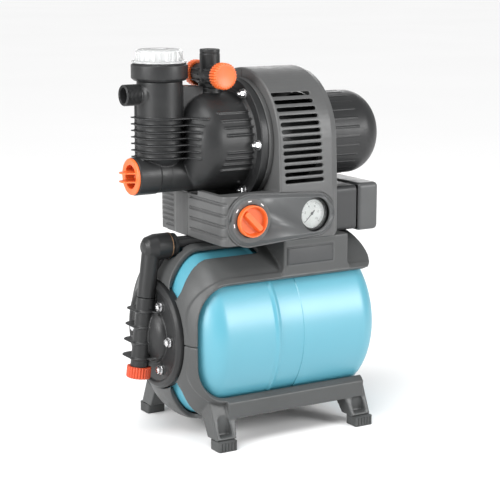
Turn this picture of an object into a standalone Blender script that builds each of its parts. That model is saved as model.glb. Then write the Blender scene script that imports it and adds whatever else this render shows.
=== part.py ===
"""Garden booster set: a shallow well jet pump with its motor, control console and a horizontal pressure tank.

Frame: +X along the motor shaft towards the fan, -Y is the front with the control panel, +Z up.
The origin is on the ground under the centre of the whole set. Metres throughout.
"""

import math

import bpy
from mathutils import Matrix, Vector

# ---------------------------------------------------------------- driving dimensions
GAP = 0.0004  # left between two pieces that touch
RUN = 0.0006  # radial clearance of a piece that turns or slides
X_SHIFT = 0.011  # moves the tank's middle so that the set is centred on the origin

# pressure tank, lying along X
TANK_R = 0.135
TANK_Z = 0.168
TANK_HALF = 0.125  # half length of the cylindrical part
DOME_DEPTH = 0.062
TANK_WALL = 0.0015
MOUTH_R = 0.042

# frame that hugs the tank
FRAME_CLEAR = 0.0015
FRAME_THICK = 0.009
FRAME_R = TANK_R + FRAME_CLEAR + FRAME_THICK
HUB_HOLE_R = 0.0885
UPPER_RIGHT_X = 0.165
LOWER_RIGHT_X = 0.142
WINDOW_HALF = 0.090
WINDOW_LEFT_X = -0.167
WINDOW_CORNER = 0.055
SPINE_HALF = 0.035
SLOT_OUTER_Y = 0.060
PEDESTAL_X = (-0.012, 0.110)
PEDESTAL_Y = 0.112
ROOM_R = TANK_R + 0.0058  # kept free about the tank by the pieces added to the frame
FOOT_X = 0.1236
FOOT_Y = 0.1245
FOOT_REACH_Y = 0.143

# tank flange and the pipe that climbs from it
FLANGE_R = 0.087
FLANGE_FACE_X = -0.192
FLANGE_BOLT_R = 0.059
STUD_RING_HALF = 0.0045  # half the width of the ring that carries the studs
PIPE_FOOT = Vector((-0.2184, -0.003, 0.108))
PIPE_HEAD = Vector((-0.1930, -0.003, 0.311))
PIPE_LEAN = (0, math.atan2(PIPE_HEAD.x - PIPE_FOOT.x, PIPE_HEAD.z - PIPE_FOOT.z), 0)
PIPE_R = 0.0145
JOINT_UP = 0.124  # where the riser plugs into the flange's tube, above the foot
MANIFOLD_X = (-0.1580, -0.096)

# console, shroud and panel
CONSOLE_X = (-0.126, 0.086)
CONSOLE_FRONT_Y = -0.118
CONSOLE_REAR_Y = 0.095
CONSOLE_Z = (0.322, 0.400)
SEAM_Y = 0.0
SHROUD_X = (-0.024, 0.086)
SHROUD_R = 0.1145
SHELL_WALL = 0.003
SLOT_COUNT = 13
SLOT_Z = (0.415, 0.549)
SLOT_X = (-0.014, 0.058)
SLOT_LEAN = 0.007  # how far the top slot sits to the left of the bottom one
SLOT_HEIGHT = 0.0058
KNOB_X, KNOB_Z, KNOB_R = -0.080, 0.3605, 0.025
GAUGE_X, GAUGE_Z, GAUGE_R = 0.0415, 0.3595, 0.0235
PANEL_FACE_Y = -0.1200

# motor and pump, on one shaft
SHAFT_Z = 0.4725
SHAFT_R = 0.007
COVER_R = 0.0705
COVER_X = (0.0875, 0.221)
DOME_R = 0.079
PUMP_FLANGE_X = (-0.046, -0.033)
PUMP_FLANGE_R = 0.099
PUMP_BOLT_R = 0.0885

# filter tower, suction port, ejector tube and outlet tee
TOWER_X = -0.173
TOWER_R = 0.036
TOWER_TOP_Z = 0.5725
COLLAR_R = 0.0445
PORT_Z = 0.552
PORT_FACE_X = -0.237
PORT_R = 0.0166
TUBE_Z = 0.425
TUBE_R = 0.030
TUBE_FACE_X = -0.222
FIN_TIP_X = -0.243
RIB_COUNT = 7
RIB_Z = (0.4535, 0.515)
TEE_X = -0.083
TEE_Z = 0.578
TEE_TOP_Z = 0.6185
TEE_END_Y = 0.0445
CAP_R = 0.021

# ---------------------------------------------------------------- scene and collections
for old in list(bpy.data.objects):
    bpy.data.objects.remove(old)
scene = bpy.context.scene
parts = bpy.data.collections.new("jet_pump_set")
cutters = bpy.data.collections.new("cutters")
scene.collection.children.link(parts)
scene.collection.children.link(cutters)
root = bpy.data.objects.new("set_origin", None)
parts.objects.link(root)
root.location = (X_SHIFT, 0, 0)

COLOURS = {
    "tank_blue": ((0.30, 0.68, 0.76), 0.30, 0.0),
    "frame_grey": ((0.085, 0.087, 0.087), 0.55, 0.0),
    "console_grey": ((0.14, 0.14, 0.14), 0.50, 0.0),
    "panel_grey": ((0.06, 0.062, 0.065), 0.45, 0.0),
    "pump_black": ((0.018, 0.018, 0.019), 0.42, 0.0),
    "orange": ((0.90, 0.20, 0.03), 0.38, 0.0),
    "clear": ((0.85, 0.88, 0.88), 0.08, 0.0),
    "steel": ((0.62, 0.62, 0.62), 0.28, 1.0),
    "iron": ((0.30, 0.30, 0.31), 0.50, 1.0),
    "copper": ((0.72, 0.36, 0.20), 0.35, 1.0),
    "rubber": ((0.02, 0.02, 0.02), 0.80, 0.0),
    "white": ((0.85, 0.85, 0.84), 0.45, 0.0),
}


def material(name):
    """The Principled material of that colour, made once."""
    found = bpy.data.materials.get(name)
    if found:
        return found
    colour, roughness, metallic = COLOURS[name]
    made = bpy.data.materials.new(name)
    made.use_nodes = True
    shader = made.node_tree.nodes["Principled BSDF"]
    shader.inputs["Base Color"].default_value = (*colour, 1.0)
    shader.inputs["Roughness"].default_value = roughness
    shader.inputs["Metallic"].default_value = metallic
    return made


# ---------------------------------------------------------------- modelling helpers
FACING = {
    "+Z": (0.0, 0.0, 0.0),
    "-Z": (math.pi, 0.0, 0.0),
    "+X": (0.0, math.pi / 2, 0.0),
    "-X": (0.0, -math.pi / 2, 0.0),
    "+Y": (-math.pi / 2, 0.0, 0.0),
    "-Y": (math.pi / 2, 0.0, 0.0),
}


def place(obj, colour, where=(0, 0, 0), facing="+Z", tilt=None):
    """Puts obj in the parts collection under the set's origin; colour None makes it a cutter."""
    obj.location = where
    obj.rotation_euler = tilt if tilt else FACING[facing]
    obj.parent = root
    if colour is None:
        cutters.objects.link(obj)
        obj.hide_render = True
        obj.display_type = "WIRE"
    else:
        parts.objects.link(obj)
        obj.data.materials.append(material(colour))
    return obj


def new_mesh_object(name):
    return bpy.data.objects.new(name, bpy.data.meshes.new(name))


def lathe(name, colour, profile, where=(0, 0, 0), facing="+Z", steps=32, tilt=None):
    """A turned piece. profile lists (radius, height), down the outer side from the top; a profile that
    doesn't start and end on the axis is closed into a ring."""
    obj = new_mesh_object(name)
    count = len(profile)
    edges = [(i, i + 1) for i in range(count - 1)]
    if profile[0][0] > 0 or profile[-1][0] > 0:
        edges.append((count - 1, 0))
    obj.data.from_pydata([(r, 0, h) for r, h in profile], edges, [])
    screw = obj.modifiers.new("turn", "SCREW")
    screw.steps = screw.render_steps = steps
    screw.use_merge_vertices = True
    screw.merge_threshold = 0.00001
    screw.use_smooth_shade = True
    return place(obj, colour, where, facing, tilt)


def disc(name, colour, radius, length, where, facing="+Z", steps=24, tilt=None):
    """A solid cylinder that starts at where and runs length towards facing."""
    profile = [(0, length), (radius, length), (radius, 0), (0, 0)]
    return lathe(name, colour, profile, where, facing, steps, tilt)


def ring(name, colour, inner, outer, length, where, facing="+Z", steps=24, tilt=None):
    """A plain tube that starts at where and runs length towards facing."""
    profile = [(outer, length), (outer, 0), (inner, 0), (inner, length)]
    return lathe(name, colour, profile, where, facing, steps, tilt)


def box(name, colour, low, high, bevel=0.0, segments=2, edges=None):
    """A box between two corners, in the set's coordinates, with rounded edges where asked.
    edges names the axis along which edges are rounded; None rounds them all."""
    low, high = Vector(low), Vector(high)
    bpy.ops.mesh.primitive_cube_add(size=1)
    obj = bpy.context.object
    for collection in list(obj.users_collection):
        collection.objects.unlink(obj)
    obj.name = obj.data.name = name
    obj.data.transform(Matrix.Diagonal((*(high - low), 1)))
    if bevel:
        if edges:
            soften_edges(obj, edges)
        rounding = obj.modifiers.new("rounding", "BEVEL")
        rounding.width = bevel
        rounding.segments = segments
        rounding.limit_method = "WEIGHT" if edges else "NONE"
    return place(obj, colour, (low + high) / 2)


def soften_edges(obj, axis):
    """Marks for bevelling the edges that run along axis."""
    mesh = obj.data
    weights = mesh.attributes.new("bevel_weight_edge", "FLOAT", "EDGE")
    along = "XYZ".index(axis)
    for edge in mesh.edges:
        a, b = (mesh.vertices[i].co for i in edge.vertices)
        direction = (b - a).normalized()
        weights.data[edge.index].value = 1.0 if abs(direction[along]) > 0.99 else 0.0


def prism(name, colour, outline, low, high, facing, bevel=0.0):
    """A flat outline, given as (u, v) points, extruded from low to high along Y or X.
    Along Y, u is X and v is Z; along X, u is Y and v is Z; along Z, u is X and v is Y."""
    mesh = bpy.data.meshes.new(name)
    spots = {"Y": lambda u, v, w: (u, w, v), "X": lambda u, v, w: (w, u, v), "Z": lambda u, v, w: (u, v, w)}
    spot = spots[facing]
    count = len(outline)
    points = [spot(u, v, low) for u, v in outline] + [spot(u, v, high) for u, v in outline]
    faces = [tuple(range(count)), tuple(range(2 * count - 1, count - 1, -1))]
    for i in range(count):
        j = (i + 1) % count
        faces.append((j, i, i + count, j + count))
    mesh.from_pydata(points, [], faces)
    mesh.validate()
    obj = bpy.data.objects.new(name, mesh)
    place(obj, colour)
    face_out(mesh)
    if bevel:
        rounding = obj.modifiers.new("rounding", "BEVEL")
        rounding.width = bevel
        rounding.segments = 2
        rounding.limit_method = "ANGLE"
        rounding.angle_limit = math.radians(50)
    return obj


def face_out(mesh):
    """Turns every face of a closed mesh to point outwards."""
    import bmesh

    bm = bmesh.new()
    bm.from_mesh(mesh)
    bmesh.ops.recalc_face_normals(bm, faces=bm.faces)
    bm.to_mesh(mesh)
    bm.free()


def arc(centre, radius, start, end, steps):
    """Points along an arc, in degrees."""
    cu, cv = centre
    turns = [math.radians(start + (end - start) * i / steps) for i in range(steps + 1)]
    return [(cu + radius * math.cos(t), cv + radius * math.sin(t)) for t in turns]


def rounded_box_outline(u0, v0, u1, v1, radius, steps=4):
    return (
        arc((u1 - radius, v0 + radius), radius, -90, 0, steps)
        + arc((u1 - radius, v1 - radius), radius, 0, 90, steps)
        + arc((u0 + radius, v1 - radius), radius, 90, 180, steps)
        + arc((u0 + radius, v0 + radius), radius, 180, 270, steps)
    )


def boolean(obj, other, operation):
    step = obj.modifiers.new(operation.lower(), "BOOLEAN")
    step.operation = operation
    step.solver = "EXACT"
    step.object = other
    return obj


def cut(obj, *others):
    for other in others:
        boolean(obj, other, "DIFFERENCE")
    return obj


def join(obj, *others):
    for other in others:
        boolean(obj, other, "UNION")
    return obj


def keep(obj, other):
    return boolean(obj, other, "INTERSECT")


def joined(name, colour, objects):
    """One object from several that don't touch, such as the bolts of one set."""
    graph = bpy.context.evaluated_depsgraph_get()
    mesh = bpy.data.meshes.new(name)
    points, faces, smooth = [], [], []
    for obj in objects:
        graph.update()
        made = bpy.data.meshes.new_from_object(obj.evaluated_get(graph))
        turn = Matrix.LocRotScale(obj.location, obj.rotation_euler, None)
        start = len(points)
        points += [turn @ v.co for v in made.vertices]
        faces += [[start + i for i in p.vertices] for p in made.polygons]
        smooth += [p.use_smooth for p in made.polygons]
        bpy.data.objects.remove(obj)
    mesh.from_pydata(points, [], faces)
    mesh.polygons.foreach_set("use_smooth", smooth)
    return place(bpy.data.objects.new(name, mesh), colour)


def around(radius, count, first=0.0):
    """(u, v) places on a circle, with the turn of each in radians."""
    turns = [math.radians(first + 360 * i / count) for i in range(count)]
    return [(radius * math.cos(t), radius * math.sin(t), t) for t in turns]


# ---------------------------------------------------------------- pressure tank
def dome_radius(depth, radius, x):
    """Radius of an elliptical dome at x past the end of the cylinder."""
    return radius * math.sqrt(max(0.0, 1 - (x / depth) ** 2))


def dome_reach(depth, radius, r):
    """How far past the end of the cylinder the dome is at radius r."""
    return depth * math.sqrt(max(0.0, 1 - (r / radius) ** 2))


def dome_points(depth, radius, inner_r, steps):
    """(radius, reach) along the dome, from inner_r out to the full radius."""
    start = math.asin(inner_r / radius)
    turns = [start + (math.pi / 2 - start) * i / steps for i in range(steps + 1)]
    return [(radius * math.sin(t), depth * math.cos(t)) for t in turns]


def build_tank():
    valve_r = 0.004
    bead_x, bead_half, bead_rise = -0.036, 0.006, 0.0022
    step_x = 0.012
    outer = [(r, TANK_HALF + d) for r, d in dome_points(DOME_DEPTH, TANK_R, valve_r + GAP, 6)]
    outer += [
        (TANK_R, step_x),
        (TANK_R - 0.0008, step_x - 0.001),
        (TANK_R - 0.0008, bead_x + bead_half),
        (TANK_R + bead_rise - 0.0008, bead_x),
        (TANK_R, bead_x - bead_half),
    ]
    left = [(r, -TANK_HALF - d) for r, d in dome_points(DOME_DEPTH, TANK_R, MOUTH_R, 5)]
    outer += left[::-1]
    depth, radius = DOME_DEPTH - TANK_WALL, TANK_R - TANK_WALL - 0.0008
    inner = [(r, -TANK_HALF - d) for r, d in dome_points(depth, radius, MOUTH_R, 4)]
    inner += [(r, TANK_HALF + d) for r, d in dome_points(depth, radius, valve_r + GAP, 4)][::-1]
    lathe("tank_shell", "tank_blue", outer + inner, (0, 0, TANK_Z), "+X", 36)

    # The rubber bag that holds the water, clamped by its lip between tank and flange.
    lip_front = -TANK_HALF - dome_reach(DOME_DEPTH, TANK_R, MOUTH_R) - 0.0012
    bag_r, bag_wall = 0.100, 0.002
    bag = [
        (0, 0.112),
        (0.050, 0.104),
        (0.085, 0.080),
        (bag_r, 0.040),
        (bag_r, -0.085),
        (0.080, -0.135),
        (0.040, -0.172),
        (MOUTH_R - 0.003, lip_front + GAP),
        (MOUTH_R + 0.008, lip_front + GAP - 0.0004),
        (MOUTH_R + 0.008, lip_front - 0.0024),
        (MOUTH_R - 0.005, lip_front - 0.0024),
        (0.037, -0.172),
        (0.079, -0.133),
        (bag_r - bag_wall, -0.084),
        (bag_r - bag_wall, 0.039),
        (0.084, 0.078),
        (0.050, 0.1018),
        (0, 0.110),
    ]
    lathe("tank_bag", "rubber", bag, (0, 0, TANK_Z), "+X", 16)

    # Air valve at the far end, and its dust cap.
    pole = TANK_HALF + DOME_DEPTH
    stem = [
        (0, pole + 0.016),
        (0.0038, pole + 0.016),
        (0.0038, pole + 0.0033),
        (0.008, pole + 0.003),
        (0.008, pole + 0.0006),
        (0.0038, pole + 0.0002),
        (0.0038, pole - 0.006),
        (0, pole - 0.006),
    ]
    lathe("air_valve", "steel", stem, (0, 0, TANK_Z), "+X", 10)
    cap_start = pole + 0.0036
    cap = [
        (0, 0.0165),
        (0.0072, 0.0165),
        (0.0085, 0.014),
        (0.0085, 0.0),
        (0.0038 + RUN, 0.0),
        (0.0038 + RUN, 0.0130),
        (0, 0.0130),
    ]
    lathe("air_valve_cap", "pump_black", cap, (cap_start, 0, TANK_Z), "+X", 12)


# ---------------------------------------------------------------- tank frame
def frame_shell(name, right_x):
    """The shell of revolution that both frame halves are cut from."""
    clear = FRAME_CLEAR
    outer_depth = DOME_DEPTH + clear + FRAME_THICK
    outer = [(FRAME_R - 0.002, right_x), (FRAME_R, right_x - 0.004)]
    left = [(r, -TANK_HALF - d) for r, d in dome_points(outer_depth, FRAME_R, HUB_HOLE_R, 5)]
    outer += left[::-1]
    radius, depth = TANK_R + clear + 0.0015, DOME_DEPTH + clear
    inner = [(r, -TANK_HALF - d) for r, d in dome_points(depth, radius, HUB_HOLE_R, 4)]
    inner += [(radius, right_x)]
    return lathe(name, "frame_grey", outer + inner, (0, 0, TANK_Z), "+X", 36)


def frame_windows(tag):
    """The cutter for the front and the rear window."""
    far_x = 0.25
    low_z, high_z = TANK_Z - WINDOW_HALF, TANK_Z + WINDOW_HALF
    bend_x = WINDOW_LEFT_X + WINDOW_CORNER
    outline = [(far_x, low_z), (far_x, high_z)]
    outline += arc((bend_x, high_z - WINDOW_CORNER), WINDOW_CORNER, 90, 180, 5)
    outline += arc((bend_x, low_z + WINDOW_CORNER), WINDOW_CORNER, 180, 270, 5)
    return prism(f"cut_window_{tag}", None, outline, -0.2, 0.2, "Y")


def spine_slot(tag, side, low_z, high_z, right_x):
    near, far = sorted((side * SPINE_HALF, side * SLOT_OUTER_Y))
    outline = rounded_box_outline(-0.182, near, right_x, far, 0.011, 3)
    return prism(f"cut_slot_{tag}", None, outline, low_z, high_z, "Z")


def half_space(tag, low_z, high_z):
    return box(f"half_{tag}", None, (-0.3, -0.3, low_z), (0.3, 0.3, high_z))


def build_upper_frame():
    shell = frame_shell("frame_upper", UPPER_RIGHT_X)
    cut(shell, frame_windows("upper"))
    for side in (-1, 1):
        cut(shell, spine_slot(f"upper_{side + 1}", side, TANK_Z, 0.4, PEDESTAL_X[0] - 0.018))
    keep(shell, half_space("upper", TANK_Z + GAP / 2, 0.5))
    # Pedestal under the console: a block on the saddle, hollowed so that it clears the tank.
    low, high = (PEDESTAL_X[0], -PEDESTAL_Y, 0.266), (PEDESTAL_X[1], PEDESTAL_Y, CONSOLE_Z[0] - GAP)
    block = box("block_pedestal", None, low, high)
    cut(block, disc("cut_under_pedestal", None, ROOM_R, 0.4, (-0.2, 0, TANK_Z), "+X", 36))
    cut(block, box("cut_pedestal_heart", None, (0.005, -0.085, 0.25), (0.093, 0.085, 0.4)))
    join(shell, block)
    # The elbow and the block it plugs into pass through the middle of the spine.
    cut(shell, disc("cut_stub_room", None, 0.0225, 0.05, (-0.206, PIPE_HEAD.y, PIPE_HEAD.z), "+X", 20))
    low, high = MANIFOLD_X
    cut(shell, box("cut_block_room", None, (low - 0.001, -0.0165, 0.28), (high + 0.001, 0.0105, 0.33)))
    cut(shell, disc("cut_socket_room", None, 0.0205, 0.02, (-0.165, PIPE_HEAD.y, PIPE_HEAD.z), "+X", 20))
    cut(shell, box("cut_terminal_room", None, (0.0915, -0.0705, 0.3130), (0.12, 0.0625, 0.33)))


def foot_outline(side_x, side_y):
    """Corner points of a leg: a wide root under the saddle that narrows to the foot."""
    x, y = side_x * FOOT_X, side_y * FOOT_Y
    out_y = side_y * FOOT_REACH_Y
    top = [
        (x - 0.021, side_y * 0.070, 0.062),
        (x + 0.021, side_y * 0.070, 0.062),
        (x + 0.021, side_y * 0.118, 0.062),
        (x - 0.021, side_y * 0.118, 0.062),
    ]
    toe_x = x + side_x * 0.006
    bottom = [
        (toe_x - 0.016, y - side_y * 0.018, 0.0),
        (toe_x + 0.016, y - side_y * 0.018, 0.0),
        (toe_x + 0.016, out_y, 0.0),
        (toe_x - 0.016, out_y, 0.0),
    ]
    return bottom + top


def leg(name, side_x, side_y):
    """One splayed leg, a loft between two rectangles."""
    mesh = bpy.data.meshes.new(name)
    loft = [(0, 3, 2, 1), (4, 5, 6, 7), (0, 1, 5, 4), (1, 2, 6, 5), (2, 3, 7, 6), (3, 0, 4, 7)]
    mesh.from_pydata(foot_outline(side_x, side_y), [], loft)
    face_out(mesh)
    return place(bpy.data.objects.new(name, mesh), None)


PAD_TOP_Z = 0.016


def build_lower_frame():
    shell = frame_shell("frame_lower", LOWER_RIGHT_X)
    cut(shell, frame_windows("lower"))
    for side in (-1, 1):
        cut(shell, spine_slot(f"lower_{side + 1}", side, 0.0, TANK_Z, -0.132))
    keep(shell, half_space("lower", 0.0, TANK_Z - GAP / 2))
    # Straight side skirts make the base look square from the front.
    room = disc("cut_for_tank", None, ROOM_R, 0.6, (-0.3, 0, TANK_Z), "+X", 36)
    for side in (-1, 1):
        low_y, high_y = sorted((side * 0.060, side * 0.1165))
        skirt = box(f"skirt_{side + 1}", None, (-0.118, low_y, 0.040), (LOWER_RIGHT_X - 0.001, high_y, 0.0755))
        cut(skirt, room)
        join(shell, skirt)
    for side_x in (-1, 1):
        for side_y in (-1, 1):
            tag = f"{side_x + 1}{side_y + 1}"
            one = leg(f"leg_{tag}", side_x, side_y)
            cut(one, room, dome_room(tag, side_x))
            join(shell, one)
    cut(shell, box("cut_for_pads", None, (-0.3, -0.3, -0.01), (0.3, 0.3, PAD_TOP_Z + GAP)))


def dome_room(tag, side_x):
    """Keeps a leg clear of the tank's dome."""
    depth, radius = DOME_DEPTH + FRAME_CLEAR + 0.0025, ROOM_R
    profile = [(r, d) for r, d in dome_points(depth, radius, 0.0, 8)] + [(radius, -0.01), (0, -0.01)]
    profile[0] = (0, profile[0][1])
    facing = "+X" if side_x > 0 else "-X"
    return lathe(f"cut_dome_{tag}", None, profile, (side_x * TANK_HALF, 0, TANK_Z), facing, 24)


def build_foot_pads():
    """Ribbed rubber shoes, one on each leg."""
    for side_x, end in ((-1, "left"), (1, "right")):
        for side_y, face in ((-1, "front"), (1, "rear")):
            toe_x = side_x * (FOOT_X + 0.006)
            low_y, high_y = sorted((side_y * (FOOT_Y - 0.018), side_y * FOOT_REACH_Y))
            box(
                f"foot_pad_{face}_{end}", "rubber",
                (toe_x - 0.0165, low_y, 0.0), (toe_x + 0.0165, high_y, PAD_TOP_Z - GAP), 0.003, 1, "Z",
            )


# ---------------------------------------------------------------- tank flange and riser pipe
def along_pipe(distance):
    """A point on the leaning pipe's axis, distance above its foot."""
    return PIPE_FOOT + (PIPE_HEAD - PIPE_FOOT).normalized() * distance


def build_flange():
    lip_front = TANK_HALF + dome_reach(DOME_DEPTH, TANK_R, MOUTH_R) + 0.0012
    lip_seat = -(lip_front + 0.0024) - GAP
    bulge = [(0.046 * math.cos(t), FLANGE_FACE_X - 0.017 * math.sin(t)) for t in (0.0, 0.4, 0.8, 1.2)]
    seat_r = MOUTH_R + 0.0085
    outer = [
        (0, lip_seat),
        (seat_r, lip_seat),
        (seat_r, -TANK_HALF - dome_reach(DOME_DEPTH, TANK_R, seat_r) - 0.0008),
        (0.070, -TANK_HALF - dome_reach(DOME_DEPTH, TANK_R, 0.070) - 0.0012),
        (FLANGE_R, -TANK_HALF - dome_reach(DOME_DEPTH, TANK_R, FLANGE_R) - 0.0012),
        (FLANGE_R, FLANGE_FACE_X + 0.006),
        (FLANGE_R - 0.0045, FLANGE_FACE_X + 0.001),
        (FLANGE_R - 0.009, FLANGE_FACE_X),
    ] + bulge + [(0, FLANGE_FACE_X - 0.017)]
    flange = lathe("tank_flange", "pump_black", outer, (0, 0, TANK_Z), "+X", 30)
    join(flange, disc("tube_manifold", None, PIPE_R, JOINT_UP, PIPE_FOOT, tilt=PIPE_LEAN, steps=18))
    for level in range(4):
        spot = along_pipe(0.026 + 0.0253 * level)
        outline = (
            [(FLANGE_FACE_X + 0.0027, -0.032), (spot.x + 0.006, -0.0190)]
            + arc((spot.x, spot.y), PIPE_R + 0.0018, -70, -180, 4)
            + arc((spot.x - 0.0033, 0.025), 0.013, 180, 90, 3)
            + [(FLANGE_FACE_X + 0.0027, 0.0395)]
        )
        join(flange, prism(f"rib_flange_{level}", None, outline, spot.z - 0.0012, spot.z + 0.0012, "Z"))
    # The water way, its socket for the riser, and room for the riser in front of the rim.
    bore, socket_r, room_r = 0.0105, 0.0118 + GAP, PIPE_R + 0.001
    way = [
        (0, 0.204), (room_r, 0.204), (room_r, JOINT_UP - 0.0005), (socket_r, JOINT_UP - 0.0005),
        (socket_r, JOINT_UP - 0.018), (bore, JOINT_UP - 0.018), (bore, -0.01), (0, -0.01),
    ]
    cut(flange, lathe("bore_manifold", None, way, PIPE_FOOT, tilt=PIPE_LEAN, steps=20))
    cut(flange, disc("bore_inlet", None, 0.012, 0.05, (-0.2085, 0, TANK_Z), "+X", 14))
    for y, z, turn in around(FLANGE_BOLT_R, 6):
        hole_at = (FLANGE_FACE_X - 0.005, y, TANK_Z + z)
        cut(flange, disc(f"hole_flange_{round(math.degrees(turn))}", None, 0.0036, 0.04, hole_at, "+X", 8))
    inner, outer_r = FLANGE_BOLT_R - STUD_RING_HALF, FLANGE_BOLT_R + STUD_RING_HALF
    back_x = -TANK_HALF - dome_reach(DOME_DEPTH, TANK_R, inner) - 0.0040
    cut(flange, ring("groove_studs", None, inner - GAP, outer_r + GAP, 0.02, (back_x - GAP, 0, TANK_Z), "+X", 24))
    # Six studs on a steel ring let into the flange's back, with their nuts in front.
    studs = ring("flange_stud_ring", "steel", inner, outer_r, 0.003, (back_x, 0, TANK_Z), "+X", 24)
    for y, z, turn in around(FLANGE_BOLT_R, 6):
        nut = [
            (0, 0.0072), (0.0048, 0.0072), (0.0060, 0.0060), (0.0060, 0.0019), (0.0078, 0.0019), (0.0078, 0.0),
            (0.0032, 0.0), (0.0032, FLANGE_FACE_X - back_x - 0.001), (0, FLANGE_FACE_X - back_x - 0.001),
        ]
        nut_at = (FLANGE_FACE_X - GAP, y, TANK_Z + z)
        join(studs, lathe(f"nut_flange_{round(math.degrees(turn))}", None, nut, nut_at, "-X", 8))


def build_riser():
    """The pipe from the flange up to the pump, with its elbow, and the drain cap at the bottom."""
    start = along_pipe(JOINT_UP - 0.0175)
    length = (PIPE_HEAD - start).length
    riser = disc("riser_pipe", "pump_black", 0.0118, length, start, tilt=PIPE_LEAN, steps=18)
    ferrule = along_pipe(JOINT_UP + GAP)
    rise = (PIPE_HEAD - ferrule).length
    join(riser, disc("tube_ferrule", None, PIPE_R - 0.0005, rise, ferrule, tilt=PIPE_LEAN, steps=18))
    stub = [(0, 0.034), (0.0190, 0.034), (0.0205, 0.0325), (0.0205, 0.008), (0.0165, -0.007), (0, -0.012)]
    join(riser, lathe("tube_stub", None, stub, PIPE_HEAD, "+X", 20))
    join(riser, disc("tube_spigot", None, 0.0098, 0.0395, PIPE_HEAD, "+X", 16))
    x, y = PIPE_HEAD.x, PIPE_HEAD.y
    web = [(x - 0.006, 0.2660), (x + 0.0030, 0.2660), (x + 0.030, 0.296), (x, 0.300)]
    join(riser, prism("web_riser", None, web, y - 0.002, y + 0.002, "Y"))
    down = start - along_pipe(JOINT_UP - 0.0155)
    cut(riser, disc("bore_riser", None, 0.0080, length, start + down, tilt=PIPE_LEAN, steps=12))
    cut(riser, disc("bore_stub", None, 0.0072, 0.12, PIPE_HEAD, "+X", 12))

    facing_down = (0, PIPE_LEAN[1] + math.pi, 0)
    seat = along_pipe(-GAP)
    ring("drain_cap_seal", "rubber", 0.0105, 0.0140, 0.0020, seat, steps=16, tilt=facing_down)
    cap = [
        (0, 0.0062), (0.0180, 0.0062), (0.0195, 0.0046), (0.0195, -0.0125), (PIPE_R + RUN, -0.0125),
        (PIPE_R + RUN, 0.0026), (0, 0.0026),
    ]
    lathe("drain_cap", "orange", cap, seat, steps=20, tilt=facing_down)


# ---------------------------------------------------------------- console and shroud
def shroud_outline(inset):
    """The tombstone section of the shroud, as (Y, Z) points, inset from its outer face."""
    radius = SHROUD_R - inset
    low = CONSOLE_Z[0] + inset
    front, rear = CONSOLE_FRONT_Y + inset, SHROUD_R - inset
    return [(front, low), (rear, low)] + arc((0, SHAFT_Z), radius, 0, 180, 16) + [(front, CONSOLE_Z[1])]


def console_body(name, colour):
    """The whole outer body, before it is hollowed and split."""
    low, high = zip(CONSOLE_X, (CONSOLE_FRONT_Y, CONSOLE_REAR_Y), CONSOLE_Z)
    body = box(name, colour, low, high, 0.012, 3, "Z")
    return join(body, prism(f"{name}_arch", None, shroud_outline(0), SHROUD_X[0], SHROUD_X[1] + 0.0005, "X"))


def console_hollow(tag):
    w = SHELL_WALL
    low = (CONSOLE_X[0] + w, CONSOLE_FRONT_Y + w, CONSOLE_Z[0] + w)
    high = (CONSOLE_X[1] - w, CONSOLE_REAR_Y - w, CONSOLE_Z[1] - w)
    hollow = box(f"hollow_{tag}", None, low, high, 0.010, 2, "Z")
    near, far = SHROUD_X[0] + w, SHROUD_X[1] - w + 0.0004
    return join(hollow, prism(f"hollow_arch_{tag}", None, shroud_outline(w), near, far, "X"))


def slot_cutter(tag, side):
    """All cooling slots of one side, as one cutter."""
    slots = []
    near, far = sorted((side * 0.05, side * 0.14))
    for i in range(SLOT_COUNT):
        share = i / (SLOT_COUNT - 1)
        z = SLOT_Z[0] + (SLOT_Z[1] - SLOT_Z[0]) * share
        left_x, right_x = (x - SLOT_LEAN * share for x in SLOT_X)
        low, high = (left_x, near, z - SLOT_HEIGHT / 2), (right_x, far, z + SLOT_HEIGHT / 2)
        slots.append(box(f"slot_{tag}_{i}", None, low, high))
    return joined(f"slots_{tag}", None, slots)


def build_console():
    for tag, low_y, high_y in (("front", -0.3, SEAM_Y - GAP / 2), ("rear", SEAM_Y + GAP / 2, 0.3)):
        body = console_body(f"console_{tag}", "console_grey")
        cut(body, console_hollow(tag))
        cut(body, disc(f"bore_motor_{tag}", None, COVER_R + 0.001, 0.3, (-0.1, 0, SHAFT_Z), "+X", 28))
        cut(body, box(f"tray_{tag}", None, (-0.116, -0.088, 0.388), (-0.0237, 0.084, 0.45)))
        cut(body, slot_cutter(tag, -1 if tag == "front" else 1))
        if tag == "front":
            cut(body, disc("bore_gauge", None, 0.0275, 0.03, (GAUGE_X, CONSOLE_FRONT_Y - 0.01, GAUGE_Z), "+Y", 20))
            cut(body, disc("bore_selector", None, 0.0055, 0.03, (KNOB_X, CONSOLE_FRONT_Y - 0.01, KNOB_Z), "+Y", 12))
        low_hole, high_hole = (-0.1188, PIPE_HEAD.y - 0.0128, 0.31), (-0.0952, PIPE_HEAD.y + 0.0128, 0.33)
        cut(body, box(f"hole_manifold_{tag}", None, low_hole, high_hole))
        cut(body, box(f"notch_tube_{tag}", None, (-0.14, -0.0340, 0.3925), (-0.1100, 0.0340, 0.45)))
        keep(body, box(f"side_{tag}", None, (-0.3, low_y, 0.2), (0.3, high_y, 0.7)))


def build_manifold():
    """The block that carries water from the pump down to the elbow and the gauge."""
    y, z = PIPE_HEAD.y, PIPE_HEAD.z
    low, high = MANIFOLD_X
    block = box("pressure_manifold", "pump_black", (-0.1525, y - 0.0120, 0.3072), (high, y + 0.0120, 0.3215))
    join(block, disc("socket_manifold", None, 0.0190, 0.0062, (low, y, z), "+X", 20))
    join(block, box("tower_manifold", None, (-0.1180, y - 0.0120, 0.3100), (high, y + 0.0120, 0.3915)))
    cut(block, disc("bore_elbow", None, 0.0098 + GAP, 0.0058, (low - 0.0005, y, z), "+X", 16))


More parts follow.
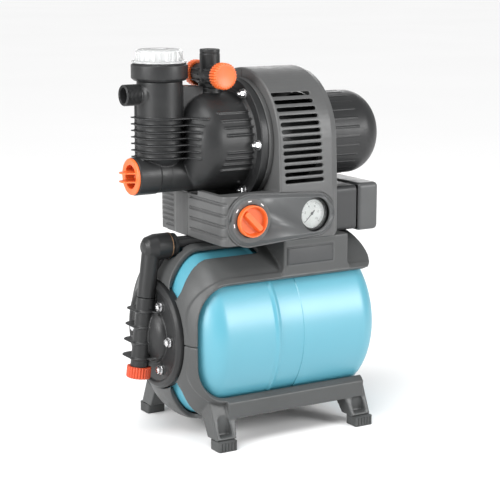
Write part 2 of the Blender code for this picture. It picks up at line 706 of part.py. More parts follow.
def panel_outline(grow=0.0):
    """The keyhole: a big round end about the knob and a smaller one about the gauge."""
    big, small = 0.0425 + grow, 0.0345 + grow
    far_x = 0.0435
    flat = math.degrees(math.acos((big - small) / (far_x - KNOB_X)))
    return arc((KNOB_X, KNOB_Z), big, flat, 360 - flat, 16) + arc((far_x, GAUGE_Z + 0.0005), small, -flat, flat, 10)


def build_panel():
    panel = prism("control_panel", "panel_grey", panel_outline(), PANEL_FACE_Y, CONSOLE_FRONT_Y - GAP, "Y")
    cut(panel, disc("bore_panel_gauge", None, 0.0275, 0.03, (GAUGE_X, PANEL_FACE_Y - 0.01, GAUGE_Z), "+Y", 20))
    cut(panel, disc("bore_panel_knob", None, 0.0055, 0.03, (KNOB_X, PANEL_FACE_Y - 0.01, KNOB_Z), "+Y", 12))
    for name, x in (("left", KNOB_X - 0.0385), ("right", 0.0735)):
        screw_at = (x, PANEL_FACE_Y + 0.0004, KNOB_Z - 0.001)
        join(panel, disc(f"screw_panel_{name}", None, 0.0024, 0.0012, screw_at, "-Y", 8))
    ring("knob_bezel", "console_grey", 0.0262, 0.0350, 0.0022, (KNOB_X, PANEL_FACE_Y - GAP, KNOB_Z), "-Y", 24)
    low, high = (-0.007, -PEDESTAL_Y - 0.0022, 0.2805), (0.080, -PEDESTAL_Y - GAP, 0.3090)
    box("badge_plate", "panel_grey", low, high, 0.0008, 1)


GRIP_TURN = math.radians(45)


def build_knob():
    """Selector knob: a round cup with a bar across it, and the rotary switch that it turns."""
    base_y = PANEL_FACE_Y - 0.0008
    where = (KNOB_X, base_y, KNOB_Z)
    cup = [
        (0, 0.0030), (0.0215, 0.0030), (0.0225, 0.0105), (0.0240, 0.0112), (KNOB_R, 0.0098), (KNOB_R, 0), (0, 0),
    ]
    knob = lathe("selector_knob", "orange", cup, where, "-Y", 24)
    bar = [(-0.0045, -0.0218), (0.0045, -0.0218), (0.0045, 0.0218), (-0.0045, 0.0218)]
    across, along = math.cos(GRIP_TURN), math.sin(GRIP_TURN)
    turned = [(KNOB_X + u * across - v * along, KNOB_Z + u * along + v * across) for u, v in bar]
    join(knob, prism("bar_knob", None, turned, base_y - 0.0118, base_y - 0.001, "Y"))
    join(knob, disc("stem_knob", None, 0.0042, 0.020, (KNOB_X, base_y - 0.001, KNOB_Z), "+Y", 12))
    half = 0.014
    low, high = (KNOB_X - half, -0.1135, KNOB_Z - half), (KNOB_X + half, -0.088, KNOB_Z + half)
    switch = box("rotary_switch", "pump_black", low, high, 0.001, 1)
    cut(switch, disc("bore_switch", None, 0.0042 + RUN, 0.0195, (KNOB_X, -0.120, KNOB_Z), "+Y", 12))


def build_gauge():
    """Pressure gauge, set deep in its round recess."""
    face_y = -0.1085
    where = (GAUGE_X, face_y, GAUGE_Z)
    case = [
        (GAUGE_R, 0.0046), (0.0262, 0.0046), (0.0262, 0.0), (0.0205, -0.020), (0.006, -0.021),
        (0.006, -0.034), (0, -0.034), (0, -0.0030), (GAUGE_R, -0.0030),
    ]
    lathe("gauge_case", "pump_black", case, where, "-Y", 20)
    disc("gauge_dial", "white", GAUGE_R - GAP, 0.0010, (GAUGE_X, face_y + 0.0026, GAUGE_Z), "-Y", 20)
    needle_y = face_y + 0.0010
    pivot = disc("gauge_needle", "pump_black", 0.0020, 0.0016, (GAUGE_X, needle_y, GAUGE_Z), "-Y", 12)
    lean = math.radians(225)
    tip = Vector((math.cos(lean), math.sin(lean)))
    side = Vector((-tip.y, tip.x))
    shape = [tip * 0.0185, side * 0.0011 - tip * 0.006, side * -0.0011 - tip * 0.006]
    outline = [(GAUGE_X + p.x, GAUGE_Z + p.y) for p in shape]
    join(pivot, prism("hand", None, outline, needle_y - 0.0012, needle_y - 0.0004, "Y"))
    lens = [(0, 0.0018), (GAUGE_R - GAP, 0.0012), (GAUGE_R - GAP, 0.0), (0, 0.0006)]
    lathe("gauge_lens", "clear", lens, (GAUGE_X, face_y - 0.0022, GAUGE_Z), "-Y", 20)


# ---------------------------------------------------------------- motor
def build_motor():
    centre = (0, 0, SHAFT_Z)
    housing = [(0.0605, 0.085), (0.0620, 0.083), (0.0620, -0.0240), (0.0585, -0.0240), (0.0585, 0.085)]
    lathe("motor_housing", "iron", housing, centre, "+X", 20)
    stator = ring("motor_stator", "copper", 0.0290, 0.0580, 0.058, (0.004, 0, SHAFT_Z), "+X", 20)
    profile = [
        (0.050, 0.017), (0.054, 0.013), (0.054, 0.004), (0.050, 0), (0.036, 0), (0.033, 0.004), (0.033, 0.013),
        (0.036, 0.017),
    ]
    for x in (-0.0125, 0.0610):
        join(stator, lathe(f"head_{x}", None, profile, (x, 0, SHAFT_Z), "+X", 16))
    shaft = [
        (0, 0.178), (0.0060, 0.178), (0.0060, 0.120), (SHAFT_R, 0.116), (SHAFT_R, -0.030), (0.0055, -0.032),
        (0.0055, -0.104), (0, -0.104),
    ]
    lathe("motor_shaft", "steel", shaft, centre, "+X", 12)
    ring("rotor_core", "iron", SHAFT_R + GAP, 0.0284, 0.058, (0.004, 0, SHAFT_Z), "+X", 16)
    bracket = [
        (PUMP_FLANGE_R, -0.0246), (PUMP_FLANGE_R, -0.0326), (0.0160, -0.0326), (0.0160, -0.0282), (0.0570, -0.0282),
        (0.0570, -0.0246),
    ]
    plate = lathe("motor_bracket", "iron", bracket, centre, "+X", 30)
    for y, z, turn in around(PUMP_BOLT_R, 6):
        nut = [
            (0, 0.0135), (0.0035, 0.0130), (0.0052, 0.0095), (0.0065, 0.0085), (0.0065, 0.0020), (0.0082, 0.0018),
            (0.0082, 0.0), (0.0032, 0.0), (0.0032, -0.015), (0, -0.015),
        ]
        stud_at = (PUMP_FLANGE_X[0] - GAP, y, SHAFT_Z + z)
        join(plate, lathe(f"nut_pump_{round(math.degrees(turn))}", None, nut, stud_at, "-X", 8))
    ring("bearing_front", "steel", SHAFT_R + RUN, 0.0155, 0.009, (-0.0275, 0, SHAFT_Z), "+X", 12)
    plate = [(0.0620, 0.0925), (0.0620, 0.0855), (0.0160, 0.0855), (0.0160, 0.0925)]
    lathe("motor_end_plate", "iron", plate, centre, "+X", 20)
    ring("bearing_rear", "steel", SHAFT_R + RUN, 0.0155, 0.009, (0.0845, 0, SHAFT_Z), "+X", 12)


def shaft_blade(tag, low_x, high_x, inner, outer, turn, sweep=0.0):
    """A blade of a wheel on the shaft, from the inner to the outer radius; sweep leans it back."""
    half = 0.001
    lag = (outer - inner) * sweep
    outline = [(inner, -half), (outer, lag - half), (outer, lag + half), (inner, half)]
    blade = prism(f"blade_{tag}_{round(math.degrees(turn))}", None, outline, low_x, high_x, "X")
    blade.location, blade.rotation_euler = (0, 0, SHAFT_Z), (turn, 0, 0)
    return blade


def build_fan():
    x = 0.128
    fan = disc("cooling_fan", "pump_black", 0.018, 0.016, (x, 0, SHAFT_Z), "+X", 16)
    for _, _, turn in around(1.0, 7, 20):
        join(fan, shaft_blade("fan", x + 0.001, x + 0.0155, 0.015, 0.050, turn))
    cut(fan, disc("bore_fan", None, 0.0060 + GAP, 0.05, (x - 0.01, 0, SHAFT_Z), "+X", 16))


def cover_profile(inset):
    """The fan cover's outer profile as (radius, X), from its pole to its rim."""
    pole = COVER_X[1] - inset
    depth, radius = 0.048, COVER_R - inset
    turns = [math.radians(90 * i / 5) for i in range(6)]
    dome = [(radius * math.sin(t) ** 0.85, pole - depth * (1 - math.cos(t))) for t in turns]
    return dome


def build_fan_cover():
    outer = cover_profile(0) + [(COVER_R, COVER_X[0])]
    inner = [(COVER_R - 0.003, COVER_X[0])] + cover_profile(0.003)[::-1]
    outer[0] = (0, COVER_X[1])
    inner[-1] = (0, COVER_X[1] - 0.003)
    cover = lathe("fan_cover", "pump_black", outer + inner, (0, 0, SHAFT_Z), "+X", 30)
    for y, z, turn in around(0.030, 6):
        cut(cover, disc(f"vent_{round(math.degrees(turn))}", None, 0.0045, 0.05, (0.19, y, SHAFT_Z + z), "+X", 8))


# ---------------------------------------------------------------- terminal box
BOX_Y = (-0.070, 0.062)
BOX_Z = (0.3135, 0.3935)
BOX_SPLIT_X = 0.157
GLAND_X, GLAND_Z = 0.126, 0.336


def build_terminal_box():
    low_x, high_x = 0.0925, 0.200

    def between(near_x, far_x, inset):
        """Two corners of the box's section, inset on its four sides, from near_x to far_x."""
        return (near_x, BOX_Y[0] + inset, BOX_Z[0] + inset), (far_x, BOX_Y[1] - inset, BOX_Z[1] - inset)

    base = box("terminal_box", "panel_grey", *between(low_x, BOX_SPLIT_X - GAP, 0.003), 0.006, 2, "X")
    cut(base, box("hollow_box", None, *between(low_x + 0.003, 0.2, 0.006)))
    cut(base, disc("hole_gland", None, 0.0068, 0.02, (GLAND_X, BOX_Y[1] - 0.012, GLAND_Z), "+Y", 14))
    lid = box("terminal_box_lid", "panel_grey", *between(BOX_SPLIT_X, high_x, 0), 0.006, 2)
    cut(lid, box("hollow_lid", None, *between(0.1, high_x - 0.004, 0.004)))
    for side_y in (0, 1):
        for side_z in (0, 1):
            y = BOX_Y[side_y] + (0.013, -0.013)[side_y]
            z = BOX_Z[side_z] + (0.013, -0.013)[side_z]
            join(lid, disc(f"screw_{side_y}{side_z}", None, 0.0032, 0.0022, (high_x - 0.001, y, z), "+X", 12))
    disc("run_capacitor", "white", 0.0165, 0.078, (0.138, -0.040, 0.3585), "+Y", 16)
    gland = [
        (0.0040, 0.010), (0.0065, 0.010), (0.0065, -GAP), (0.0105, -GAP), (0.0105, -0.010),
        (0.0080, -0.018), (0.0040, -0.018),
    ]
    lathe("cable_gland", "pump_black", gland, (GLAND_X, BOX_Y[1] - 0.003, GLAND_Z), "-Y", 12)


# ---------------------------------------------------------------- pump housing, tower and outlet
def dome_profile(radius, left_x, right_x, corner, steps=6):
    """A round-ended drum as (radius, X), from its right rim to its left pole."""
    turns = [math.radians(90 * i / steps) for i in range(steps + 1)]
    bend = [(radius - corner + corner * math.cos(t), left_x + corner - corner * math.sin(t)) for t in turns]
    return [(0, right_x), (radius, right_x)] + bend + [(0, left_x)]


def build_pump_housing():
    centre = (0, 0, SHAFT_Z)
    left_x = -0.143
    drum = dome_profile(DOME_R, left_x, PUMP_FLANGE_X[1], 0.042, 4)
    housing = lathe("pump_housing", "pump_black", drum, centre, "+X", 30)
    rim_left, rim_right = PUMP_FLANGE_X
    rim = [
        (0, rim_right), (PUMP_FLANGE_R, rim_right), (PUMP_FLANGE_R, rim_left + 0.002),
        (PUMP_FLANGE_R - 0.002, rim_left), (0, rim_left),
    ]
    join(housing, lathe("rim_housing", None, rim, centre, "+X", 30))
    tower = [
        (0, TOWER_TOP_Z), (TOWER_R, TOWER_TOP_Z), (TOWER_R, 0.452), (0.024, 0.441), (0.024, TUBE_Z), (0, TUBE_Z),
    ]
    join(housing, lathe("tower_housing", None, tower, (TOWER_X, 0, 0), "+Z", 24))
    tube = [
        (0, -0.120), (TUBE_R - 0.0025, -0.120), (TUBE_R - 0.0025, -0.183), (TUBE_R, -0.184), (TUBE_R, TUBE_FACE_X),
        (0, TUBE_FACE_X),
    ]
    join(housing, lathe("tube_housing", None, tube, (0, 0, TUBE_Z), "+X", 20))
    for i in range(RIB_COUNT):
        z = RIB_Z[0] + (RIB_Z[1] - RIB_Z[0]) * i / (RIB_COUNT - 1)
        outline = arc((TOWER_X, 0), 0.041, 90, 270, 7) + [(-0.105, -0.041), (-0.105, 0.041)]
        join(housing, prism(f"fin_{i}", None, outline, z - 0.001, z + 0.001, "Z"))
    port = [
        (0, 0.072), (PORT_R - 0.001, 0.072), (PORT_R, 0.071), (PORT_R, 0.044), (0.0195, 0.040), (0.0255, 0.030),
        (0.0255, 0.0), (0, 0),
    ]
    join(housing, lathe("port_housing", None, port, (PORT_FACE_X + 0.072, 0, PORT_Z), "-X", 18))
    join(housing, disc("neck_outlet", None, 0.0190, 0.040, (TEE_X, 0, 0.5180), "+Z", 16))
    # Water spaces: pump chamber, filter chamber, ejector tube, suction and outlet bores.
    chamber = dome_profile(DOME_R - 0.004, left_x + 0.004, PUMP_FLANGE_X[1] + 0.01, 0.038, 3)
    cut(housing, lathe("space_chamber", None, chamber, centre, "+X", 24))
    cut(housing, disc("space_filter", None, TOWER_R - 0.0035, 0.14, (TOWER_X, 0, 0.452), "+Z", 20))
    cut(housing, disc("space_neck", None, 0.018, 0.04, (TOWER_X, 0, TUBE_Z), "+Z", 12))
    cut(housing, disc("space_tube", None, 0.0245, 0.115, (TUBE_FACE_X - 0.01, 0, TUBE_Z), "+X", 16))
    cut(housing, disc("space_port", None, 0.0125, 0.06, (PORT_FACE_X - 0.01, 0, PORT_Z), "+X", 14))
    cut(housing, disc("space_outlet", None, 0.0125, 0.06, (TEE_X, 0, 0.53), "+Z", 12))
    for y, z, turn in around(PUMP_BOLT_R, 6):
        hole_at = (rim_left - 0.005, y, SHAFT_Z + z)
        cut(housing, disc(f"hole_pump_{round(math.degrees(turn))}", None, 0.0036, 0.04, hole_at, "+X", 8))


def build_filter():
    base = TOWER_TOP_Z + GAP
    seat = [
        (COLLAR_R - 0.001, 0.0252), (COLLAR_R, 0.0242), (COLLAR_R, 0.003), (0.0415, 0.0), (0.0328, 0.0),
        (0.0328, 0.004), (0.0375, 0.004), (0.0375, 0.0252),
    ]
    lathe("filter_collar", "pump_black", seat, (TOWER_X, 0, base), "+Z", 24)
    top = base + 0.0252
    ring("filter_lid_seal", "rubber", 0.0382, 0.0420, 0.0016, (TOWER_X, 0, top + GAP), "+Z", 20)
    lid_z = top + 0.0016 + 2 * GAP
    lid = [
        (0, 0.0205), (0.0330, 0.0205), (0.0368, 0.0180), (0.0372, 0.0032), (0.0430, 0.0028), (0.0430, 0.0),
        (0.0370, 0.0), (0.0370, -0.012), (0.0340, -0.012), (0.0340, 0.0150), (0.0310, 0.0178), (0, 0.0178),
    ]
    lathe("filter_lid", "clear", lid, (TOWER_X, 0, lid_z), "+Z", 24)
    basket = [
        (0.0315, 0.1190), (0.0315, 0.1175), (0.0275, 0.1165), (0.0255, 0.0), (0, 0.0), (0, 0.0015), (0.0240, 0.0015),
        (0.0262, 0.1190),
    ]
    lathe("filter_basket", "white", basket, (TOWER_X, 0, 0.4530), "+Z", 16)


def build_jet_plug():
    """Orange plug in the ejector tube's mouth, with two blades to turn it by."""
    face = TUBE_FACE_X - GAP
    ring("jet_plug_seal", "rubber", 0.0205, 0.0240, 0.0020, (face + 0.016, 0, TUBE_Z), "+X", 16)
    plug = [
        (0.0190, 0.0042), (0.0275, 0.0042), (0.0290, 0.0028), (0.0290, 0.0), (0.0238, 0.0), (0.0238, -0.0155),
        (0, -0.0155), (0, -0.0125), (0.0190, -0.0125),
    ]
    body = lathe("jet_plug", "orange", plug, (face, 0, TUBE_Z), "-X", 20)
    for level in (-1, 1):
        z = TUBE_Z + level * 0.0065
        outline = [(face + 0.0130, -0.0180), (face + 0.0130, 0.0180), (FIN_TIP_X, 0.0105), (FIN_TIP_X, -0.0105)]
        join(body, prism(f"blade_plug_{level}", None, outline, z - 0.0011, z + 0.0011, "Z"))


def build_ejector():
    """The jet: a nozzle blowing into a venturi, in the lower tube."""
    nozzle = [
        (0.0055, 0.026), (0.0075, 0.026), (0.0160, 0.004), (0.0160, -0.004), (0.0140, -0.004), (0.0140, 0.003),
    ]
    lathe("ejector_nozzle", "white", nozzle, (-0.182, 0, TUBE_Z), "+X", 14)
    venturi = [
        (0.0150, 0.040), (0.0170, 0.040), (0.0095, 0.006), (0.0140, 0.0), (0.0120, 0.0), (0.0070, 0.006),
        (0.0070, 0.012),
    ]
    lathe("venturi_tube", "white", venturi, (-0.152, 0, TUBE_Z), "+X", 14)


def build_impeller():
    centre = (-0.074, 0, SHAFT_Z)
    hub_bore = 0.0055 + GAP
    wheel = [
        (0.0140, 0.010), (0.0560, 0.003), (0.0560, 0.0), (hub_bore, 0.0), (hub_bore, 0.014), (0.0140, 0.014),
    ]
    impeller = lathe("impeller", "white", wheel, centre, "+X", 20)
    for _, _, turn in around(1.0, 6, 15):
        join(impeller, shaft_blade("impeller", centre[0] - 0.0065, centre[0] + 0.002, 0.018, 0.054, turn, -0.45))
    diffuser = [
        (0.0730, -0.050), (0.0730, -0.0955), (0.0120, -0.0955), (0.0120, -0.0930), (0.0600, -0.0930), (0.0600, -0.050),
    ]
    lathe("diffuser", "white", diffuser, (0, 0, SHAFT_Z), "+X", 20)
    seal = [(0.0128, 0.0135), (0.0128, 0.0), (hub_bore, 0.0), (hub_bore, 0.0135)]
    lathe("shaft_seal", "rubber", seal, (-0.0475, 0, SHAFT_Z), "+X", 12)


def build_outlet():
    """Swivelling outlet tee with three threaded ends; the front and rear ones are capped."""
    base = 0.5584
    body = [
        (0, TEE_TOP_Z), (0.0150, TEE_TOP_Z), (0.0160, TEE_TOP_Z - 0.001), (0.0160, base + 0.009), (0.0185, base + 0.007),
        (0.0185, base), (0.0120, base), (0.0120, base - 0.008), (0, base - 0.008),
    ]
    tee = lathe("outlet_tee", "pump_black", body, (TEE_X, 0, 0), "+Z", 18)
    join(tee, disc("cross_tee", None, 0.0164, 2 * TEE_END_Y, (TEE_X, -TEE_END_Y, TEE_Z), "+Y", 18))
    cut(tee, disc("bore_tee_up", None, 0.0102, 0.09, (TEE_X, 0, base - 0.02), "+Z", 12))
    cut(tee, disc("bore_tee_cross", None, 0.0118, 0.12, (TEE_X, -0.06, TEE_Z), "+Y", 12))
    for tag, side in (("front", -1), ("rear", 1)):
        facing = "-Y" if side < 0 else "+Y"
        end = side * (TEE_END_Y + GAP)
        ring(f"outlet_cap_seal_{tag}", "rubber", 0.0120, 0.0160, 0.0020, (TEE_X, end, TEE_Z), facing, 14)
        cap = [
            (0, 0.0060), (0.0185, 0.0060), (CAP_R, 0.0042), (CAP_R, -0.0115), (0.0164 + RUN, -0.0115),
            (0.0164 + RUN, 0.0026), (0, 0.0026),
        ]
        lathe(f"outlet_cap_{tag}", "orange", cap, (TEE_X, end, TEE_Z), facing, 20)


def build_check_valve():
    """Spring-loaded flap valve in the suction port: a seat disc and the poppet that lifts off it."""
    poppet = [(0, 0.0120), (0.0020, 0.0120), (0.0020, 0.0025), (0.0105, 0.0025), (0.0105, 0.0), (0, 0.0)]
    lathe("check_valve_poppet", "rubber", poppet, (-0.2250, 0, PORT_Z), "+X", 10)


build_tank()
build_upper_frame()
build_lower_frame()
build_foot_pads()
build_flange()
build_riser()
build_console()
build_manifold()
build_panel()
build_knob()
build_gauge()
build_motor()
build_fan()
build_fan_cover()
build_terminal_box()
build_pump_housing()
build_filter()
build_jet_plug()
build_ejector()
build_impeller()
build_outlet()
build_check_valve()
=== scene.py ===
"""Looks of the shallow well jet pump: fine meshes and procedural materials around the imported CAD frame.

Shapes are drawn in the set's own coordinates, as the CAD has them: +X along the motor shaft, -Y the front,
+Z up, x = 0 at the middle of the tank's cylinder. SHIFT carries them into the frame's coordinates.
"""

import math

import bmesh
import bpy
from mathutils import Euler, Matrix, Vector


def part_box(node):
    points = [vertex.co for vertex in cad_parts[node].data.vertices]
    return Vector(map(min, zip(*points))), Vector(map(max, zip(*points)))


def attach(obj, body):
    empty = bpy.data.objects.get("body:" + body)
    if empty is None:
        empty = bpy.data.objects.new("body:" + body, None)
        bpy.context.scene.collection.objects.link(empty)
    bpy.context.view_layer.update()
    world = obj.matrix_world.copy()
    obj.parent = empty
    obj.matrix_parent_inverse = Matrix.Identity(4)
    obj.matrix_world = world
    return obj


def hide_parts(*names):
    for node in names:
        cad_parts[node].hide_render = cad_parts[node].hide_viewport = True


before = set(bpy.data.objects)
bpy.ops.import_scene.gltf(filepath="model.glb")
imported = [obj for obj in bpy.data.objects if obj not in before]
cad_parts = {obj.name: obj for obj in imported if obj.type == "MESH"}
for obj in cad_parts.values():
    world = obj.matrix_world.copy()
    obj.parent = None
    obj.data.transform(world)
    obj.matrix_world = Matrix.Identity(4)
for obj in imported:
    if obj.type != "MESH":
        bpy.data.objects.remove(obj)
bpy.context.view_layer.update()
scene = bpy.context.scene


def middle(node):
    low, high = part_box(node)
    return (low + high) / 2


def extent(node):
    low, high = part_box(node)
    return high - low


# ---------------------------------------------------------------- driving dimensions, from the frame
SHIFT = (middle("foot_pad_front_left").x + middle("foot_pad_front_right").x) / 2
GAP = 0.0004
BEYOND = 0.2
MOST_TRIANGLES = 185_000
SHARP = math.radians(38)
NEARLY_STRAIGHT = math.radians(160)
TOO_SHORT = 1e-6
ON_AXIS = 1e-9
BEAD_RISE = 0.0014
TANK_R = extent("tank_shell").y / 2 - BEAD_RISE
TANK_Z = middle("tank_shell").z
TANK_HALF = 0.125
DOME_DEPTH = 0.062
TANK_WALL = 0.0015
MOUTH_R = 0.042
VALVE_HOLE_R = 0.0044
BEAD_X, STEP_X = -0.036, 0.012

FRAME_CLEAR = 0.0015
FRAME_THICK = 0.009
FRAME_GRAIN = 0.0015
FRAME_R = TANK_R + FRAME_CLEAR + FRAME_THICK
HUB_HOLE_R = 0.0885
UPPER_RIGHT_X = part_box("frame_upper")[1].x - SHIFT
LOWER_RIGHT_X = 0.142
WINDOW_HALF = 0.090
WINDOW_LEFT_X = -0.167
WINDOW_CORNER = 0.055
SPINE_HALF = 0.035
SLOT_OUTER_Y = 0.067
PEDESTAL_X = (-0.012, 0.110)
PEDESTAL_Y = 0.112
ROOM_R = TANK_R + 0.0058
FOOT_X = 0.1236
FOOT_Y = 0.1245
FOOT_REACH_Y = extent("frame_lower").y / 2
PAD_TOP_Z = 0.016
TOE_SHIFT = 0.006
TOE_DEPTH = 0.018

FLANGE_R = 0.087
FLANGE_FACE_X = -0.192
FLANGE_BOLT_R = 0.059
FLANGE_NUT = (0.0112, 0.0050, 0.0032, 0.0008, 0.0080)
PIPE_FOOT = Vector((-0.2184, -0.003, 0.108))
PIPE_HEAD = Vector((-0.1930, -0.003, 0.311))
PIPE_LEAN = (0, math.atan2(PIPE_HEAD.x - PIPE_FOOT.x, PIPE_HEAD.z - PIPE_FOOT.z), 0)
PIPE_R = 0.0145
JOINT_UP = 0.124
MANIFOLD_X = (-0.1580, -0.096)

CONSOLE_X = (-0.126, 0.086)
CONSOLE_FRONT_Y = -0.118
CONSOLE_REAR_Y = 0.095
CONSOLE_Z = (0.322, 0.400)
CONSOLE_CORNER = 0.013
SEAM_Y = 0.0
SHROUD_X = (-0.024, 0.086)
SHROUD_R = 0.1145
SHOULDER = 0.012
SHELL_WALL = 0.003
SLOT_COUNT = 13
SLOT_Z = (0.415, 0.549)
SLOT_X = (-0.014, 0.058)
SLOT_LEAN = 0.007
SLOT_HEIGHT = 0.0058
KNOB_X, KNOB_Z, KNOB_R = -0.080, 0.3605, 0.025
KNOB_HOLE_R = 0.0055
GAUGE_X, GAUGE_Z, GAUGE_R = 0.0415, 0.3595, 0.0235
GAUGE_HOLE_R = 0.0275
SCALE_START, SCALE_SWEEP, SCALE_TICKS, SCALE_NUMBERS = 225, 270, 40, 6
PANEL_FACE_Y = -0.1200

SHAFT_Z = middle("fan_cover").z
COVER_R = extent("fan_cover").y / 2
COVER_X = (0.0800, 0.221)
COVER_WALL = 0.003
DOME_R = 0.079
PUMP_LEFT_X = -0.143
PUMP_FLANGE_X = (-0.046, -0.033)
PUMP_FLANGE_R = 0.099
PUMP_BOLT_R = 0.0885
PUMP_NUT = (0.0118, 0.0062, 0.0032, 0.0050, 0.0084)
TOWER_X = -0.173
TOWER_R = 0.036
TOWER_TOP_Z = 0.5725
COLLAR_R = 0.0445
PORT_Z = 0.552
PORT_FACE_X = -0.237
PORT_R = 0.0166
TUBE_Z = 0.425
TUBE_R = 0.030
TUBE_FACE_X = -0.222
FIN_TIP_X = -0.243
RIB_COUNT = 7
RIB_Z = (0.4535, 0.515)
RIB_LEVELS = [RIB_Z[0] + (RIB_Z[1] - RIB_Z[0]) * i / (RIB_COUNT - 1) for i in range(RIB_COUNT)]
TEE_X = -0.083
TEE_Z = 0.578
TEE_TOP_Z = 0.6185
TEE_END_Y = 0.0445
CAP_R = 0.021
BOX_Y = (-0.070, 0.062)
BOX_Z = (0.3135, 0.3935)
BOX_SPLIT_X = 0.157
SCREW_INSET = 0.013


# ---------------------------------------------------------------- mesh helpers
FACING = {
    "+Z": (0.0, 0.0, 0.0),

    "+X": (0.0, math.pi / 2, 0.0),
    "-X": (0.0, -math.pi / 2, 0.0),
    "+Y": (-math.pi / 2, 0.0, 0.0),
    "-Y": (math.pi / 2, 0.0, 0.0),
}


def turned_to(where, facing, tilt=None):
    return Matrix.Translation(where) @ Euler(tilt if tilt else FACING[facing]).to_matrix().to_4x4()


def linked(name, data):
    """An object for the data, in the scene."""
    obj = bpy.data.objects.new(name, data)
    scene.collection.objects.link(obj)
    return obj


def smooth_object(name, mesh):
    """An object that shades smoothly but for its sharp edges."""
    mesh.shade_smooth()
    mesh.set_sharp_from_angle(angle=SHARP)
    return linked(name, mesh)


def mesh_object(name, points, faces):
    """A closed mesh with its faces pointing out."""
    mesh = bpy.data.meshes.new(name)
    mesh.from_pydata(points, [], faces)
    tidy = bmesh.new()
    tidy.from_mesh(mesh)
    bmesh.ops.recalc_face_normals(tidy, faces=tidy.faces)
    tidy.to_mesh(mesh)
    tidy.free()
    return smooth_object(name, mesh)


def fillet(profile, radius, closed, steps=3):
    """The polyline with its corners rounded by about that radius."""
    made, count = [], len(profile)
    for i, point in enumerate(profile):
        before, here, after = Vector(profile[i - 1]), Vector(point), Vector(profile[(i + 1) % count])
        back, on = before - here, after - here
        kept = (not closed and i in (0, count - 1)) or min(back.length, on.length) < TOO_SHORT
        if kept or back.angle(on) > NEARLY_STRAIGHT:
            made.append(tuple(point))
            continue
        angle = back.angle(on)
        reach = min(radius / math.tan(angle / 2), 0.45 * back.length, 0.45 * on.length)
        start, end = here + back.normalized() * reach, here + on.normalized() * reach
        for step in range(steps + 1):
            t = step / steps
            made.append(tuple(start * (1 - t) ** 2 + here * 2 * t * (1 - t) + end * t**2))
    return made


def lathe(name, profile, where=(0, 0, 0), facing="+Z", steps=96, tilt=None, edge=0.0006, wave=None):
    """A turned solid from (radius, height) points. A profile that doesn't start and end on the axis is
    closed into a ring. wave(turn, radius, height) gives a ripple to add to the radius."""
    closed = profile[0][0] > ON_AXIS or profile[-1][0] > ON_AXIS
    if edge:
        profile = fillet(profile, edge, closed)
    points, rows = [], []
    for radius, height in profile:
        if radius < ON_AXIS:
            rows.append([len(points)] * steps)
            points.append(Vector((0, 0, height)))
            continue
        rows.append([len(points) + i for i in range(steps)])
        for i in range(steps):
            turn = math.tau * i / steps
            r = radius + (wave(turn, radius, height) if wave else 0)
            points.append(Vector((r * math.cos(turn), r * math.sin(turn), height)))
    faces = []
    pairs = list(zip(rows, rows[1:])) + ([(rows[-1], rows[0])] if closed else [])
    for one, two in pairs:
        for i in range(steps):
            j = (i + 1) % steps
            corners = list(dict.fromkeys((one[i], one[j], two[j], two[i])))
            if len(corners) > 2:
                faces.append(corners)
    turn_to = turned_to(where, facing, tilt)
    return mesh_object(name, [turn_to @ p for p in points], faces)


def disc(radius, length, where, facing="+Z", steps=64, tilt=None, edge=0.0):
    profile = [(0, length), (radius, length), (radius, 0), (0, 0)]
    return lathe("disc", profile, where, facing, steps, tilt, edge)


def ring(name, inner, outer, length, where, facing, steps=96, edge=0.0004):
    profile = [(outer, length), (outer, 0), (inner, 0), (inner, length)]
    return lathe(name, profile, where, facing, steps, edge=edge)


def loft(name, near, far, low, high, axis):
    """A solid between two outlines of as many (u, v) points, near at low and far at high along axis."""
    spots = {"Y": lambda u, v, w: (u, w, v), "X": lambda u, v, w: (w, u, v), "Z": lambda u, v, w: (u, v, w)}
    spot, count = spots[axis], len(near)
    points = [spot(u, v, low) for u, v in near] + [spot(u, v, high) for u, v in far]
    faces = [list(range(count)), list(range(2 * count - 1, count - 1, -1))]
    for i in range(count):
        j = (i + 1) % count
        faces.append([j, i, i + count, j + count])
    return mesh_object(name, points, faces)


def prism(name, outline, low, high, axis):
    return loft(name, outline, outline, low, high, axis)


def box(name, low, high, bevel=0.0, segments=3, axis=None):
    """A box between two corners, with the edges along axis rounded, or all of them."""
    low, high = Vector(low), Vector(high)
    tidy = bmesh.new()
    fitted = Matrix.Translation((low + high) / 2) @ Matrix.Diagonal((*(high - low), 1))
    bmesh.ops.create_cube(tidy, size=1, matrix=fitted)
    if bevel:
        edges = tidy.edges
        if axis:
            along = "XYZ".index(axis)
            edges = [e for e in edges if abs((e.verts[0].co - e.verts[1].co).normalized()[along]) > 0.9]
        bmesh.ops.bevel(tidy, geom=list(edges), offset=bevel, segments=segments, profile=0.5, affect="EDGES")
    mesh = bpy.data.meshes.new(name)
    tidy.to_mesh(mesh)
    tidy.free()
    return smooth_object(name, mesh)


def arc(centre, radius, start, end, steps):
    """Points along an arc, in degrees."""
    cu, cv = centre
    turns = [math.radians(start + (end - start) * i / steps) for i in range(steps + 1)]
    return [(cu + radius * math.cos(t), cv + radius * math.sin(t)) for t in turns]


def rounded_rectangle(u0, v0, u1, v1, radius, steps=8):
    return (
        arc((u1 - radius, v0 + radius), radius, -90, 0, steps)
        + arc((u1 - radius, v1 - radius), radius, 0, 90, steps)
        + arc((u0 + radius, v1 - radius), radius, 90, 180, steps)
        + arc((u0 + radius, v0 + radius), radius, 180, 270, steps)
    )


def around(radius, count, first=0.0):
    turns = [math.radians(first + 360 * i / count) for i in range(count)]
    return [(radius * math.cos(t), radius * math.sin(t), t) for t in turns]


